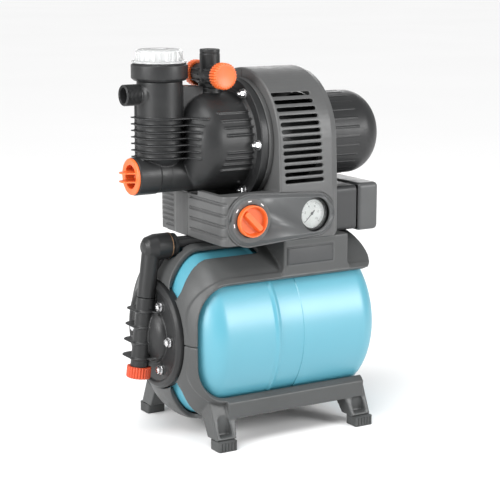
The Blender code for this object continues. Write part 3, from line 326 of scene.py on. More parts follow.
def settle(obj):
    """Applies the object's modifiers."""
    graph = bpy.context.evaluated_depsgraph_get()
    made = bpy.data.meshes.new_from_object(obj.evaluated_get(graph))
    old = obj.data
    obj.modifiers.clear()
    obj.data = made
    bpy.data.meshes.remove(old)
    return obj


def combine(obj, add=(), cut=(), keep=None):
    """One solid: obj with the added solids joined on, the cut ones taken out, and only what keep holds."""
    spent = []
    for operation, others in (("UNION", add), ("DIFFERENCE", cut), ("INTERSECT", [keep] if keep else [])):
        if not others:
            continue
        group = bpy.data.collections.new("operands")
        for other in others:
            group.objects.link(other)
        step = obj.modifiers.new(operation, "BOOLEAN")
        step.operation, step.solver = operation, "EXACT"
        step.operand_type, step.collection = "COLLECTION", group
        spent.append((group, others))
    settle(obj)
    for group, others in spent:
        bpy.data.collections.remove(group)
        for other in others:
            bpy.data.objects.remove(other)
    return obj


def mould(obj, grain, passes=4):
    """Rounds every edge as a moulding tool would: even small faces, then a few smoothing passes."""
    remesh = obj.modifiers.new("even", "REMESH")
    remesh.mode, remesh.voxel_size, remesh.use_smooth_shade = "VOXEL", grain, True
    smooth = obj.modifiers.new("smooth", "SMOOTH")
    smooth.factor, smooth.iterations = 0.5, passes
    settle(obj)
    obj.data.calc_loop_triangles()
    count = len(obj.data.loop_triangles)
    if count > MOST_TRIANGLES:
        obj.modifiers.new("thin", "DECIMATE").ratio = MOST_TRIANGLES / count
        settle(obj)
    return obj


def merge(name, objects):
    """One object from several closed solids that move together."""
    mesh = bpy.data.meshes.new(name)
    tidy = bmesh.new()
    for obj in objects:
        tidy.from_mesh(obj.data)
        bpy.data.objects.remove(obj)
    tidy.to_mesh(mesh)
    tidy.free()
    mesh.set_sharp_from_angle(angle=SHARP)
    return linked(name, mesh)


def fit(obj, name, body, finish, slot, *nodes):
    """Places a finished piece in the frame, on its body, for the CAD nodes that it stands for."""
    obj.name = name
    obj.data.transform(Matrix.Translation((SHIFT, 0, 0)))
    obj.data.materials.clear()
    obj.data.materials.append(finish)
    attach(obj, body)
    if nodes:
        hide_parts(*nodes)
    return obj


# ---------------------------------------------------------------- materials
class Finish:
    """A Principled material with small helpers to wire its nodes."""

    def __init__(self, name, colour, roughness, metallic=0.0):
        self.material = bpy.data.materials.new(name)
        self.material.use_nodes = True
        self.tree = self.material.node_tree
        self.shader = self.tree.nodes["Principled BSDF"]
        self.place = self.tree.nodes.new("ShaderNodeTexCoord").outputs["Object"]
        self.shader.inputs["Base Color"].default_value = (*colour, 1)
        self.shader.inputs["Roughness"].default_value = roughness
        self.shader.inputs["Metallic"].default_value = metallic

    def link(self, source, target):
        self.tree.links.new(source, target)

    def feed(self, name, source):
        """Drives one of the shader's inputs."""
        self.link(source, self.shader.inputs[name])

    def noise(self, scale, detail=2.0, stretch=None, kind="ShaderNodeTexNoise"):
        node = self.tree.nodes.new(kind)
        node.inputs["Scale"].default_value = scale
        if "Detail" in node.inputs:
            node.inputs["Detail"].default_value = detail
        source = self.place
        if stretch:
            mapping = self.tree.nodes.new("ShaderNodeMapping")
            mapping.inputs["Scale"].default_value = stretch
            self.link(source, mapping.inputs["Vector"])
            source = mapping.outputs["Vector"]
        self.link(source, node.inputs["Vector"])
        return node.outputs[0]

    def ramp(self, source, low, high, from_low=0.3, from_high=0.7):
        node = self.tree.nodes.new("ShaderNodeMapRange")
        node.inputs["From Min"].default_value, node.inputs["From Max"].default_value = from_low, from_high
        node.inputs["To Min"].default_value, node.inputs["To Max"].default_value = low, high
        self.link(source, node.inputs["Value"])
        return node.outputs["Result"]

    def blend(self, share, one, two):
        """A colour between two, by a share from nodes. Either may be a colour or a socket."""
        node = self.tree.nodes.new("ShaderNodeMix")
        node.data_type = "RGBA"
        self.link(share, node.inputs["Factor"])
        for side, value in (("A", one), ("B", two)):
            socket = next(s for s in node.inputs if s.name == side and s.type == "RGBA")
            if isinstance(value, bpy.types.NodeSocket):
                self.link(value, socket)
            else:
                socket.default_value = (*value, 1)
        return next(s for s in node.outputs if s.type == "RGBA")

    def mottle(self, noise, one, two):
        return self.blend(self.ramp(noise, 0, 1), one, two)

    def bump(self, height, distance, strength=1.0, under=None):
        node = self.tree.nodes.new("ShaderNodeBump")
        node.inputs["Distance"].default_value = distance
        node.inputs["Strength"].default_value = strength
        self.link(height, node.inputs["Height"])
        if under:
            self.link(under, node.inputs["Normal"])
        return node.outputs["Normal"]

    def edges(self, low, high, from_low=0.51, from_high=0.58):
        """More on sharp outer edges, by the surface's own curvature."""
        geometry = self.tree.nodes.new("ShaderNodeNewGeometry")
        return self.ramp(geometry.outputs["Pointiness"], low, high, from_low, from_high)


def shade(colour, factor):
    return tuple(min(1.0, c * factor) for c in colour)


def moulded(name, colour, roughness, grain_size=0.0011, grain_depth=0.00008, worn=1.5, specular=0.5):
    """Moulded plastic: a fine spark-eroded grain, a faint cloudiness and slightly rubbed edges."""
    f = Finish(name, colour, roughness)
    f.shader.inputs["Specular IOR Level"].default_value = specular
    tone = f.mottle(f.noise(14, 3), shade(colour, 0.93), shade(colour, 1.07))
    f.feed("Base Color", f.blend(f.edges(0, 0.55), tone, shade(colour, worn)))
    grain = f.noise(1 / grain_size, 2, kind="ShaderNodeTexVoronoi")
    f.feed("Roughness", f.ramp(f.noise(60, 4), roughness - 0.05, roughness + 0.06))
    waves = f.bump(f.noise(22, 2), 0.0006, 0.25)
    f.feed("Normal", f.bump(grain, grain_depth, 0.5, waves))
    return f.material


def enamel(name, colour, deep):
    """Glossy sprayed enamel on steel, with a faint orange peel."""
    f = Finish(name, colour, 0.25)
    f.shader.inputs["Specular IOR Level"].default_value = 1.0
    f.feed("Base Color", f.mottle(f.noise(6, 2), colour, deep))
    f.feed("Roughness", f.ramp(f.noise(9, 2), 0.38, 0.42))
    f.feed("Normal", f.bump(f.noise(12, 1), 0.0003, 0.08))
    return f.material


def plated(name, colour, roughness):
    """Plated or machined metal with a fine, uneven shine."""
    f = Finish(name, colour, roughness, 1.0)
    streaks = f.noise(420, 3, (1, 1, 1))
    f.feed("Base Color", f.mottle(f.noise(70, 3), shade(colour, 0.85), shade(colour, 1.08)))
    f.feed("Roughness", f.ramp(streaks, roughness - 0.08, roughness + 0.12))
    f.feed("Normal", f.bump(streaks, 0.00004, 0.4))
    return f.material


def rubbery(name, colour):
    """Matt rubber, dusty in places."""
    f = Finish(name, colour, 0.8)
    f.feed("Base Color", f.mottle(f.noise(40, 4), shade(colour, 0.8), shade(colour, 1.4)))
    f.feed("Roughness", f.ramp(f.noise(200, 2), 0.72, 0.9))
    f.feed("Normal", f.bump(f.noise(900, 2), 0.00008, 0.5))
    return f.material


def windings(name, colour):
    """Varnished wires that lie along X."""
    f = Finish(name, colour, 0.35, 0.9)
    wires = f.noise(900, 1, (0.2, 1, 1))
    f.feed("Base Color", f.mottle(wires, shade(colour, 0.45), colour))
    f.feed("Roughness", f.ramp(wires, 0.3, 0.5))
    f.feed("Normal", f.bump(wires, 0.0004, 0.6))
    return f.material


def clear_moulding(name, colour, share):
    """Clear plastic with flow marks."""
    f = Finish(name, colour, 0.08)
    f.shader.inputs["Transmission Weight"].default_value = share
    f.shader.inputs["IOR"].default_value = 1.35
    f.feed("Roughness", f.ramp(f.noise(50, 2), 0.06, 0.16))
    f.feed("Normal", f.bump(f.noise(60, 2), 0.0003, 0.3))
    return f.material


FRAME_GREY = moulded("frame plastic", (0.062, 0.064, 0.064), 0.40, specular=0.36)
CONSOLE_GREY = moulded("console plastic", (0.080, 0.081, 0.081), 0.40, specular=0.40)
PANEL_GREY = moulded("panel plastic", (0.066, 0.068, 0.069), 0.40, 0.0008, 0.00005)
DARK_GREY = moulded("dark grey plastic", (0.036, 0.037, 0.038), 0.42, 0.0008, 0.00005, 1.6, 0.4)
PUMP_BLACK = moulded("pump plastic", (0.0165, 0.017, 0.0175), 0.40, 0.0010, 0.00006, 2.2, 0.36)
ORANGE = moulded("orange plastic", (0.70, 0.13, 0.028), 0.36, 0.0008, 0.00003, 1.25)
DRAIN_ORANGE = moulded("deep orange plastic", (0.52, 0.062, 0.018), 0.38, 0.0008, 0.00003, 1.3)
WHITE = moulded("white plastic", (0.80, 0.80, 0.78), 0.45, 0.0010, 0.00004, 1.1)
PRINT = moulded("white print", (0.85, 0.85, 0.85), 0.5, 0.0006, 0.00002, 1.0)
INK = moulded("black print", (0.02, 0.02, 0.022), 0.5, 0.0006, 0.00002, 1.0)
TANK_BLUE = enamel("tank enamel", (0.070, 0.300, 0.388), (0.066, 0.290, 0.376))
STEEL = plated("zinc plate", (0.80, 0.80, 0.81), 0.26)
IRON = plated("machined iron", (0.32, 0.32, 0.33), 0.45)
COPPER = windings("varnished windings", (0.72, 0.36, 0.20))
BRASS = plated("brass ring", (0.45, 0.26, 0.14), 0.35)
RUBBER = rubbery("rubber", (0.022, 0.022, 0.023))
SHOE = rubbery("grey rubber", (0.052, 0.054, 0.054))
CLEAR = clear_moulding("clear moulding", (0.93, 0.95, 0.95), 0.94)
FROSTED = clear_moulding("frosted moulding", (0.90, 0.91, 0.91), 0.66)


# ---------------------------------------------------------------- pressure tank
def dome_reach(depth, radius, r):
    return depth * math.sqrt(max(0.0, 1 - (r / radius) ** 2))


def dome_points(depth, radius, inner_r, steps):
    """(radius, reach) along an elliptical dome, from inner_r out to the full radius."""
    start = math.asin(inner_r / radius)
    turns = [start + (math.pi / 2 - start) * i / steps for i in range(steps + 1)]
    return [(radius * math.sin(t), depth * math.cos(t)) for t in turns]


def tank_radius(x):
    """The cylinder's radius along X: a rolled bead, and a band a little narrower that ends at a step."""
    bead_half, sink, rise = 0.0075, 0.0012, 0.0022
    radius = TANK_R
    if BEAD_X < x < STEP_X:
        radius -= sink * min(1.0, (STEP_X - x) / 0.0010)
    if abs(x - BEAD_X) < bead_half:
        radius += rise * (0.5 + 0.5 * math.cos(math.pi * (x - BEAD_X) / bead_half))
    return radius


def build_tank():
    outer = [(r, TANK_HALF + d) for r, d in dome_points(DOME_DEPTH, TANK_R, VALVE_HOLE_R, 28)]
    marks = [TANK_HALF - 0.0005 * i for i in range(1, 2 * int(TANK_HALF * 2000))]
    for x in marks:
        if abs(x - BEAD_X) < 0.008 or abs(x - STEP_X) < 0.003 or abs(x / 0.01 % 1) < 0.05:
            outer.append((tank_radius(x), x))
    outer += [(r, -TANK_HALF - d) for r, d in dome_points(DOME_DEPTH, TANK_R, MOUTH_R, 28)][::-1]
    depth, radius = DOME_DEPTH - TANK_WALL, TANK_R - TANK_WALL - 0.0008
    inner = [(r, -TANK_HALF - d) for r, d in dome_points(depth, radius, MOUTH_R, 16)]
    inner += [(r, TANK_HALF + d) for r, d in dome_points(depth, radius, VALVE_HOLE_R, 16)][::-1]
    shell = lathe("tank", outer + inner, (0, 0, TANK_Z), "+X", 192, edge=0)
    fit(shell, "tank_enamelled_shell", "pump_set", TANK_BLUE, "tank_blue", "tank_shell")


# ---------------------------------------------------------------- frame
def window_outline(grow=0.0):
    low_z, high_z = TANK_Z - WINDOW_HALF - grow, TANK_Z + WINDOW_HALF + grow
    corner, far_x = WINDOW_CORNER + grow, 0.25
    bend_x = WINDOW_LEFT_X - grow + corner
    outline = [(far_x, low_z), (far_x, high_z)]
    outline += arc((bend_x, high_z - corner), corner, 90, 180, 16)
    outline += arc((bend_x, low_z + corner), corner, 180, 270, 16)
    return outline


def frame_shell(right_x, extra=0.0):
    radius_out = FRAME_R + extra
    outer_depth = DOME_DEPTH + FRAME_CLEAR + FRAME_THICK + extra
    outer = [(radius_out - 0.002, right_x), (radius_out, right_x - 0.004)]
    outer += [(r, -TANK_HALF - d) for r, d in dome_points(outer_depth, radius_out, HUB_HOLE_R, 20)][::-1]
    radius, depth = TANK_R + FRAME_CLEAR + 0.0015, DOME_DEPTH + FRAME_CLEAR
    inner = [(r, -TANK_HALF - d) for r, d in dome_points(depth, radius, HUB_HOLE_R, 16)] + [(radius, right_x)]
    return lathe("shell", outer + inner, (0, 0, TANK_Z), "+X", 144, edge=0)


def window_rim(right_x):
    """The lip that stands proud around both windows."""
    band = prism("band", window_outline(0.012), -BEYOND, BEYOND, "Y")
    return combine(frame_shell(right_x, 0.0018), keep=band)


def window_cutters():
    """The windows, with lips that slope back to the tank."""
    inner_y, outer_y, slope = 0.1075, 0.160, 0.82
    grown = window_outline((outer_y - inner_y) * slope)
    plain = window_outline()
    return [
        prism("through", plain, -BEYOND, BEYOND, "Y"),
        loft("front_lip", grown, plain, -outer_y, -inner_y, "Y"),
        loft("rear_lip", plain, grown, inner_y, outer_y, "Y"),
    ]


def spine_slots(low_z, high_z, right_x):
    made = []
    for side in (-1, 1):
        near, far = sorted((side * SPINE_HALF, side * SLOT_OUTER_Y))
        made.append(prism("slot", rounded_rectangle(-0.182, near, right_x, far, 0.011), low_z, high_z, "Z"))
    return made


def half_space(low_z, high_z):
    return box("half", (-0.3, -0.3, low_z), (0.3, 0.3, high_z))


def end_corner():
    """Takes the lower corners off the saddle's right end in a quarter turn."""
    radius, low = 0.036, TANK_Z + WINDOW_HALF - 0.003
    bend_x, far_x, far_z = UPPER_RIGHT_X - radius, 0.25, 0.2
    outline = arc((bend_x, low + radius), radius, 0, -90, 16)
    outline += [(bend_x, far_z), (far_x, far_z), (far_x, low + radius)]
    return prism("corner", outline, -BEYOND, BEYOND, "Y")


def build_upper_frame():
    top_z = CONSOLE_Z[0] - GAP
    low_x, high_x = PEDESTAL_X
    block = box("block", (low_x, -PEDESTAL_Y, 0.266), (high_x, PEDESTAL_Y, top_z), 0.003, 3, "Z")
    flare = 0.007
    root = rounded_rectangle(low_x - flare, -PEDESTAL_Y, high_x + flare, PEDESTAL_Y, 0.003)
    waist = rounded_rectangle(low_x, -PEDESTAL_Y, high_x, PEDESTAL_Y, 0.003)
    skirt = loft("skirt", root, waist, 0.262, 0.276, "Z")
    hollow = [
        disc(ROOM_R, 0.4, (-0.2, 0, TANK_Z), "+X", 144),
        box("heart", (0.005, -0.085, 0.25), (0.093, 0.085, 0.4)),
    ]
    combine(block, add=[skirt], cut=hollow)
    rim = window_rim(UPPER_RIGHT_X)
    low, high = MANIFOLD_X
    cuts = window_cutters() + spine_slots(TANK_Z, 0.4, low_x - 0.018) + [end_corner()]
    cuts += [
        disc(0.0225, 0.05, (-0.206, PIPE_HEAD.y, PIPE_HEAD.z), "+X"),
        box("block_room", (low - 0.001, -0.0165, 0.28), (high + 0.001, 0.0105, 0.33)),
        disc(0.0205, 0.02, (-0.165, PIPE_HEAD.y, PIPE_HEAD.z), "+X"),
        box("terminal_room", (0.0915, -0.0705, 0.3130), (0.12, 0.0625, 0.33)),
    ]
    shell = combine(frame_shell(UPPER_RIGHT_X), add=[rim], cut=cuts, keep=half_space(TANK_Z + GAP / 2, 0.5))
    combine(shell, add=[block])
    seat_low, seat_high = (-0.0082, -PEDESTAL_Y - 0.001, 0.2793), (0.0812, -PEDESTAL_Y + 0.0009, 0.3102)
    recess = box("plate_seat", seat_low, seat_high, 0.001)
    mould(shell, FRAME_GRAIN, 3)
    combine(shell, cut=[recess])
    fit(shell, "saddle_frame_upper", "pump_set", FRAME_GREY, "frame_grey", "frame_upper")


def leg_outline(side_x, side_y):
    """Corners of a leg: a wide root under the saddle that narrows to the foot."""
    def corners(x, half, near_y, far_y, z):
        return [(x - half, near_y, z), (x + half, near_y, z), (x + half, far_y, z), (x - half, far_y, z)]

    x, y = side_x * FOOT_X, side_y * FOOT_Y
    toe = corners(x + side_x * TOE_SHIFT, 0.016, y - side_y * TOE_DEPTH, side_y * FOOT_REACH_Y, 0.0)
    return toe + corners(x, 0.0235, side_y * 0.066, side_y * 0.104, 0.072)


def leg(side_x, side_y):
    """A splayed leg with an arched pocket in its face."""
    faces = [(0, 3, 2, 1), (4, 5, 6, 7), (0, 1, 5, 4), (1, 2, 6, 5), (2, 3, 7, 6), (3, 0, 4, 7)]
    one = mesh_object("leg", leg_outline(side_x, side_y), faces)
    middle_x, low_z, half, rise = side_x * (FOOT_X + 0.004), 0.0205, 0.0115, 0.036
    arch = [(middle_x - half, low_z), (middle_x + half, low_z)]
    for i in range(1, 12):
        t = math.pi * i / 12
        arch.append((middle_x + half * math.cos(t), low_z + rise * math.sin(t) ** 0.8))
    deep_y, out_y = sorted((side_y * 0.1125, side_y * 0.16))
    return combine(one, cut=[prism("pocket", arch, deep_y, out_y, "Y")])


def dome_room(side_x):
    """Keeps a leg clear of the tank's dome."""
    depth = DOME_DEPTH + FRAME_CLEAR + 0.0025
    profile = dome_points(depth, ROOM_R, 0.0, 20) + [(ROOM_R, -0.01), (0, -0.01)]
    profile[0] = (0, profile[0][1])
    return lathe("room", profile, (side_x * TANK_HALF, 0, TANK_Z), "+X" if side_x > 0 else "-X", edge=0)


def build_lower_frame():
    rim = window_rim(LOWER_RIGHT_X)
    cuts = window_cutters() + spine_slots(0.0, TANK_Z, -0.132)
    shell = combine(frame_shell(LOWER_RIGHT_X), add=[rim], keep=half_space(0.0, TANK_Z - GAP / 2))
    skirts = []
    for side in (-1, 1):
        low_y, high_y = sorted((side * 0.060, side * 0.1165))
        skirts.append(box("skirt", (-0.118, low_y, 0.044), (LOWER_RIGHT_X - 0.001, high_y, 0.0765)))
    corners = [(x, y) for x in (-1, 1) for y in (-1, 1)]
    legs = [leg(x, y) for x, y in corners]
    tank_room = [disc(ROOM_R, 0.6, (-0.3, 0, TANK_Z), "+X", 144)]
    added = combine(skirts[0], add=skirts[1:] + legs, cut=tank_room + [dome_room(x) for x in (-1, 1)])
    floor_cut = box("pads", (-0.3, -0.3, -0.01), (0.3, 0.3, PAD_TOP_Z + GAP))
    combine(shell, add=[added], cut=cuts + [floor_cut])
    mould(shell, FRAME_GRAIN, 3)
    fit(shell, "saddle_frame_lower", "pump_set", FRAME_GREY, "frame_grey", "frame_lower")


def build_foot_pads():
    """Rubber shoes with upright ribs on their faces."""
    for side_x, end in ((-1, "left"), (1, "right")):
        for side_y, face in ((-1, "front"), (1, "rear")):
            toe_x, half = side_x * (FOOT_X + TOE_SHIFT), 0.0165
            outer_y = side_y * FOOT_REACH_Y
            low_y, high_y = sorted((side_y * (FOOT_Y - TOE_DEPTH), outer_y))
            high_corner = (toe_x + half, high_y, PAD_TOP_Z - GAP)
            pad = box("pad", (toe_x - half, low_y, 0), high_corner, 0.0035, 4, "Z")
            low, high = sorted((outer_y - side_y * 0.0012, outer_y + side_y * 0.002))
            grooves = []
            for i in range(-2, 3):
                x = toe_x + i * 0.0056
                grooves.append(box("groove", (x - 0.0009, low, 0.001), (x + 0.0009, high, 0.0145), 0.0004, 2))
            combine(pad, cut=grooves)
            fit(pad, f"ribbed_shoe_{face}_{end}", "pump_set", SHOE, "rubber", f"foot_pad_{face}_{end}")


# ---------------------------------------------------------------- nuts
def hex_nut(where, facing, across, height, thread_r, stud, washer_r):
    """A washer, a chamfered hexagon nut and the flat end of its stud."""
    washer_h = 0.0016
    top = washer_h + height
    half = across / 2
    corner = half / math.cos(math.pi / 6)
    washer = ring("washer", thread_r, washer_r, washer_h, where, facing, 48)
    turn_to = turned_to(where, facing)
    levels = ((half * 0.97, washer_h), (corner, washer_h + 0.0008), (corner, top - 0.0009), (half * 0.96, top))
    points = []
    for radius, z in levels:
        for _, _, t in around(1, 6, 12):
            points.append(turn_to @ Vector((radius * math.cos(t), radius * math.sin(t), z)))
    faces = [list(range(6)), list(range(18, 24))]
    for level in range(3):
        for i in range(6):
            j = (i + 1) % 6
            faces.append([level * 6 + i, level * 6 + j, (level + 1) * 6 + j, (level + 1) * 6 + i])
    nut = mesh_object("nut", points, faces)
    tip = top + stud
    profile = [(0, tip), (thread_r * 0.8, tip), (thread_r, tip - 0.0008), (thread_r, washer_h), (0, washer_h)]
    end = lathe("end", profile, where, facing, 32, edge=0.0003)
    return [washer, nut, end]


def nut_circle(name, face_x, centre_z, radius, sizes, *nodes):
    nuts = []
    for y, z, _ in around(radius, 6):
        nuts += hex_nut((face_x - 0.0003, y, centre_z + z), "-X", *sizes)
    fit(merge("nuts", nuts), name, "pump_set", STEEL, "steel", *nodes)


# ---------------------------------------------------------------- tank flange and riser
def along_pipe(distance):
    return PIPE_FOOT + (PIPE_HEAD - PIPE_FOOT).normalized() * distance


def build_flange():
    lip_front = TANK_HALF + dome_reach(DOME_DEPTH, TANK_R, MOUTH_R) + 0.0012
    lip_seat = -(lip_front + 0.0024) - GAP
    bulge_r, bulge_rise, sunk = 0.046, 0.017, 0.0025
    turns = [math.radians(6 * i) for i in range(15)]
    bulge = [(bulge_r * math.cos(t), FLANGE_FACE_X + sunk - (bulge_rise + sunk) * math.sin(t)) for t in turns]
    seat_r = MOUTH_R + 0.0085

    def back(r):
        return -TANK_HALF - dome_reach(DOME_DEPTH, TANK_R, r) - 0.0012

    rim_r, face = FLANGE_R, FLANGE_FACE_X
    outer = [
        (0, lip_seat), (seat_r, lip_seat), (seat_r, back(seat_r) + 0.0004), (0.070, back(0.070)),
        (rim_r, back(rim_r)), (rim_r, face + 0.005), (rim_r - 0.004, face + 0.0008), (rim_r - 0.0075, face),
        (rim_r - 0.0105, face + 0.0006), (rim_r - 0.012, face + 0.0028), (bulge_r + 0.002, face + 0.0028),
    ] + bulge + [(0, face - bulge_rise)]
    flange = lathe("flange", outer, (0, 0, TANK_Z), "+X", 144, edge=0.0008)
    add = [disc(PIPE_R, JOINT_UP, PIPE_FOOT, tilt=PIPE_LEAN)]
    for level in range(4):
        spot = along_pipe(0.026 + 0.0253 * level)
        outline = (
            [(FLANGE_FACE_X + 0.004, -0.032), (spot.x + 0.006, -0.0190)]
            + arc((spot.x, spot.y), PIPE_R + 0.0018, -70, -180, 12)
            + arc((spot.x - 0.0033, 0.025), 0.013, 180, 90, 8)
            + [(FLANGE_FACE_X + 0.004, 0.0395)]
        )
        add.append(prism("rib", outline, spot.z - 0.0012, spot.z + 0.0012, "Z"))
    for y, z, _ in around(FLANGE_BOLT_R, 6):
        add.append(disc(0.0088, 0.004, (FLANGE_FACE_X + 0.0038, y, TANK_Z + z), "-X", 32))
    bore, socket_r, room_r = 0.0105, 0.0118 + GAP, PIPE_R + 0.001
    way = [
        (0, 0.204), (room_r, 0.204), (room_r, JOINT_UP - 0.0005), (socket_r, JOINT_UP - 0.0005),
        (socket_r, JOINT_UP - 0.018), (bore, JOINT_UP - 0.018), (bore, -0.01), (0, -0.01),
    ]
    cut = [lathe("bore", way, PIPE_FOOT, tilt=PIPE_LEAN, steps=48, edge=0)]
    cut.append(disc(0.012, 0.05, (-0.2085, 0, TANK_Z), "+X", 32))
    combine(flange, add=add, cut=cut)
    mould(flange, 0.0009, 3)
    fit(flange, "flange_moulding", "pump_set", PUMP_BLACK, "pump_black", "tank_flange")
    nut_circle("flange_nuts", FLANGE_FACE_X, TANK_Z, FLANGE_BOLT_R, FLANGE_NUT, "flange_stud_ring")


def cap_wave(outer_r, count, depth):
    """Grip ridges round a cap's skirt."""
    def wave(turn, radius, height):
        if radius < outer_r - 0.0045:
            return 0.0
        return -depth * (1 - abs(math.sin(turn * count / 2)) ** 0.7)

    return wave


def build_riser():
    """The pipe up to the pump with its elbow, and the drain cap at the bottom."""
    start = along_pipe(JOINT_UP - 0.0175)
    length = (PIPE_HEAD - start).length
    riser = disc(0.0118, length, start, tilt=PIPE_LEAN)
    ferrule = along_pipe(JOINT_UP + GAP)
    rise = (PIPE_HEAD - ferrule).length
    add = [disc(PIPE_R - 0.0003, rise + 0.006, ferrule, tilt=PIPE_LEAN)]
    stub = [
        (0, 0.034), (0.0195, 0.034), (0.0205, 0.0325), (0.0205, 0.006), (0.0165, -0.009), (0.010, -0.0145),
        (0, -0.0155),
    ]
    add.append(lathe("stub", stub, PIPE_HEAD, "+X", edge=0.001))
    add.append(disc(0.0098, 0.0395, PIPE_HEAD, "+X"))
    x, y = PIPE_HEAD.x, PIPE_HEAD.y
    web = [(x - 0.0115, 0.2560), (x - 0.0015, 0.2560), (x + 0.0285, 0.296), (x, 0.302)]
    add.append(prism("web", web, y - 0.0021, y + 0.0021, "Y"))
    down = start - along_pipe(JOINT_UP - 0.0155)
    bores = [disc(0.0080, length, start + down, tilt=PIPE_LEAN), disc(0.0072, 0.12, PIPE_HEAD, "+X")]
    combine(riser, add=add, cut=bores)
    mould(riser, 0.0008, 3)
    fit(riser, "riser_moulding", "pump_set", PUMP_BLACK, "pump_black", "riser_pipe")
    band = ring("band", 0.0190, 0.0207, 0.0011, PIPE_HEAD + Vector((0.0295, 0, 0)), "+X", edge=0.0003)
    fit(band, "riser_ring", "pump_set", BRASS, "copper")

    facing_down = (0, PIPE_LEAN[1] + math.pi, 0)
    outer, inner = 0.0195, PIPE_R + 0.0006
    cap = [
        (0, 0.0060), (0.0150, 0.0062), (0.0180, 0.0060), (outer, 0.0042), (outer, -0.0105),
        (outer - 0.0006, -0.0112), (outer, -0.0118), (outer, -0.0125), (inner, -0.0125), (inner, 0.0026),
        (0, 0.0026),
    ]
    wave = cap_wave(outer, 24, 0.0016)
    drain = lathe("cap", cap, along_pipe(-GAP), steps=288, tilt=facing_down, edge=0.0005, wave=wave)
    fit(drain, "drain_cap_knurled", "drain_plug", DRAIN_ORANGE, "orange", "drain_cap")


# ---------------------------------------------------------------- console and shroud
def shroud_outline(inset, steps=48):
    radius, low = SHROUD_R - inset, CONSOLE_Z[0] + inset
    front, rear = CONSOLE_FRONT_Y + inset, SHROUD_R - inset
    return [(front, low), (rear, low)] + arc((0, SHAFT_Z), radius, 0, 180, steps) + [(front, CONSOLE_Z[1])]


def console_body():
    low, high = zip(CONSOLE_X, (CONSOLE_FRONT_Y, CONSOLE_REAR_Y), CONSOLE_Z)
    body = box("console", low, high, CONSOLE_CORNER, 8, "Z")
    left, right = SHROUD_X
    start = right - SHOULDER - 0.0001
    arch = prism("arch", shroud_outline(0), left + 0.002, right - SHOULDER, "X")
    far = loft("shoulder", shroud_outline(0), shroud_outline(0.0045), start, right + 0.0002, "X")
    near = loft("lip", shroud_outline(0.002), shroud_outline(0), left, left + 0.0021, "X")
    return combine(body, add=[arch, far, near])


def console_hollow():
    w = SHELL_WALL
    low = (CONSOLE_X[0] + 0.0046, CONSOLE_FRONT_Y + w, CONSOLE_Z[0] + w)
    high = (CONSOLE_X[1] - w, CONSOLE_REAR_Y - w, CONSOLE_Z[1] - w)
    hollow = box("hollow", low, high, 0.010, 6, "Z")
    arch = prism("arch", shroud_outline(w), SHROUD_X[0] + w, SHROUD_X[1] - SHOULDER, "X")
    start, end = SHROUD_X[1] - SHOULDER - 0.0001, SHROUD_X[1] - w + 0.0004
    far = loft("shoulder", shroud_outline(w), shroud_outline(w + 0.0035), start, end, "X")
    return combine(hollow, add=[arch, far])


def cooling_slots(side):
    near, far = sorted((side * 0.05, side * 0.14))
    half = SLOT_HEIGHT / 2
    made = []
    for i in range(SLOT_COUNT):
        share = i / (SLOT_COUNT - 1)
        z = SLOT_Z[0] + (SLOT_Z[1] - SLOT_Z[0]) * share
        left_x, right_x = (x - SLOT_LEAN * share for x in SLOT_X)
        outline = rounded_rectangle(left_x, z - half, right_x, z + half, half * 0.98)
        made.append(prism("slot", outline, near, far, "Y"))
    return made


def console_groove(z, height, depth, start_y):
    """A groove along the console's left side that dies out on its front corner."""
    left, front, corner = CONSOLE_X[0], CONSOLE_FRONT_Y, CONSOLE_CORNER
    out = 0.004
    path = [(left, start_y), (left, front + corner)]
    path += arc((left + corner, front + corner), corner, 180, 240, 10)[1:]

    def offset(amount):
        made = []
        for x, y in path:
            if y > front + corner - TOO_SHORT:
                made.append((x - amount, y))
            else:
                away = Vector((x - left - corner, y - front - corner)).normalized() * amount
                made.append((x + away.x, y + away.y))
        return made

    outline = offset(out) + offset(-depth)[::-1]
    return prism("groove", outline, z - height / 2, z + height / 2, "Z")


GROOVE_Z = [0.3355 + 0.0174 * i for i in range(4)]


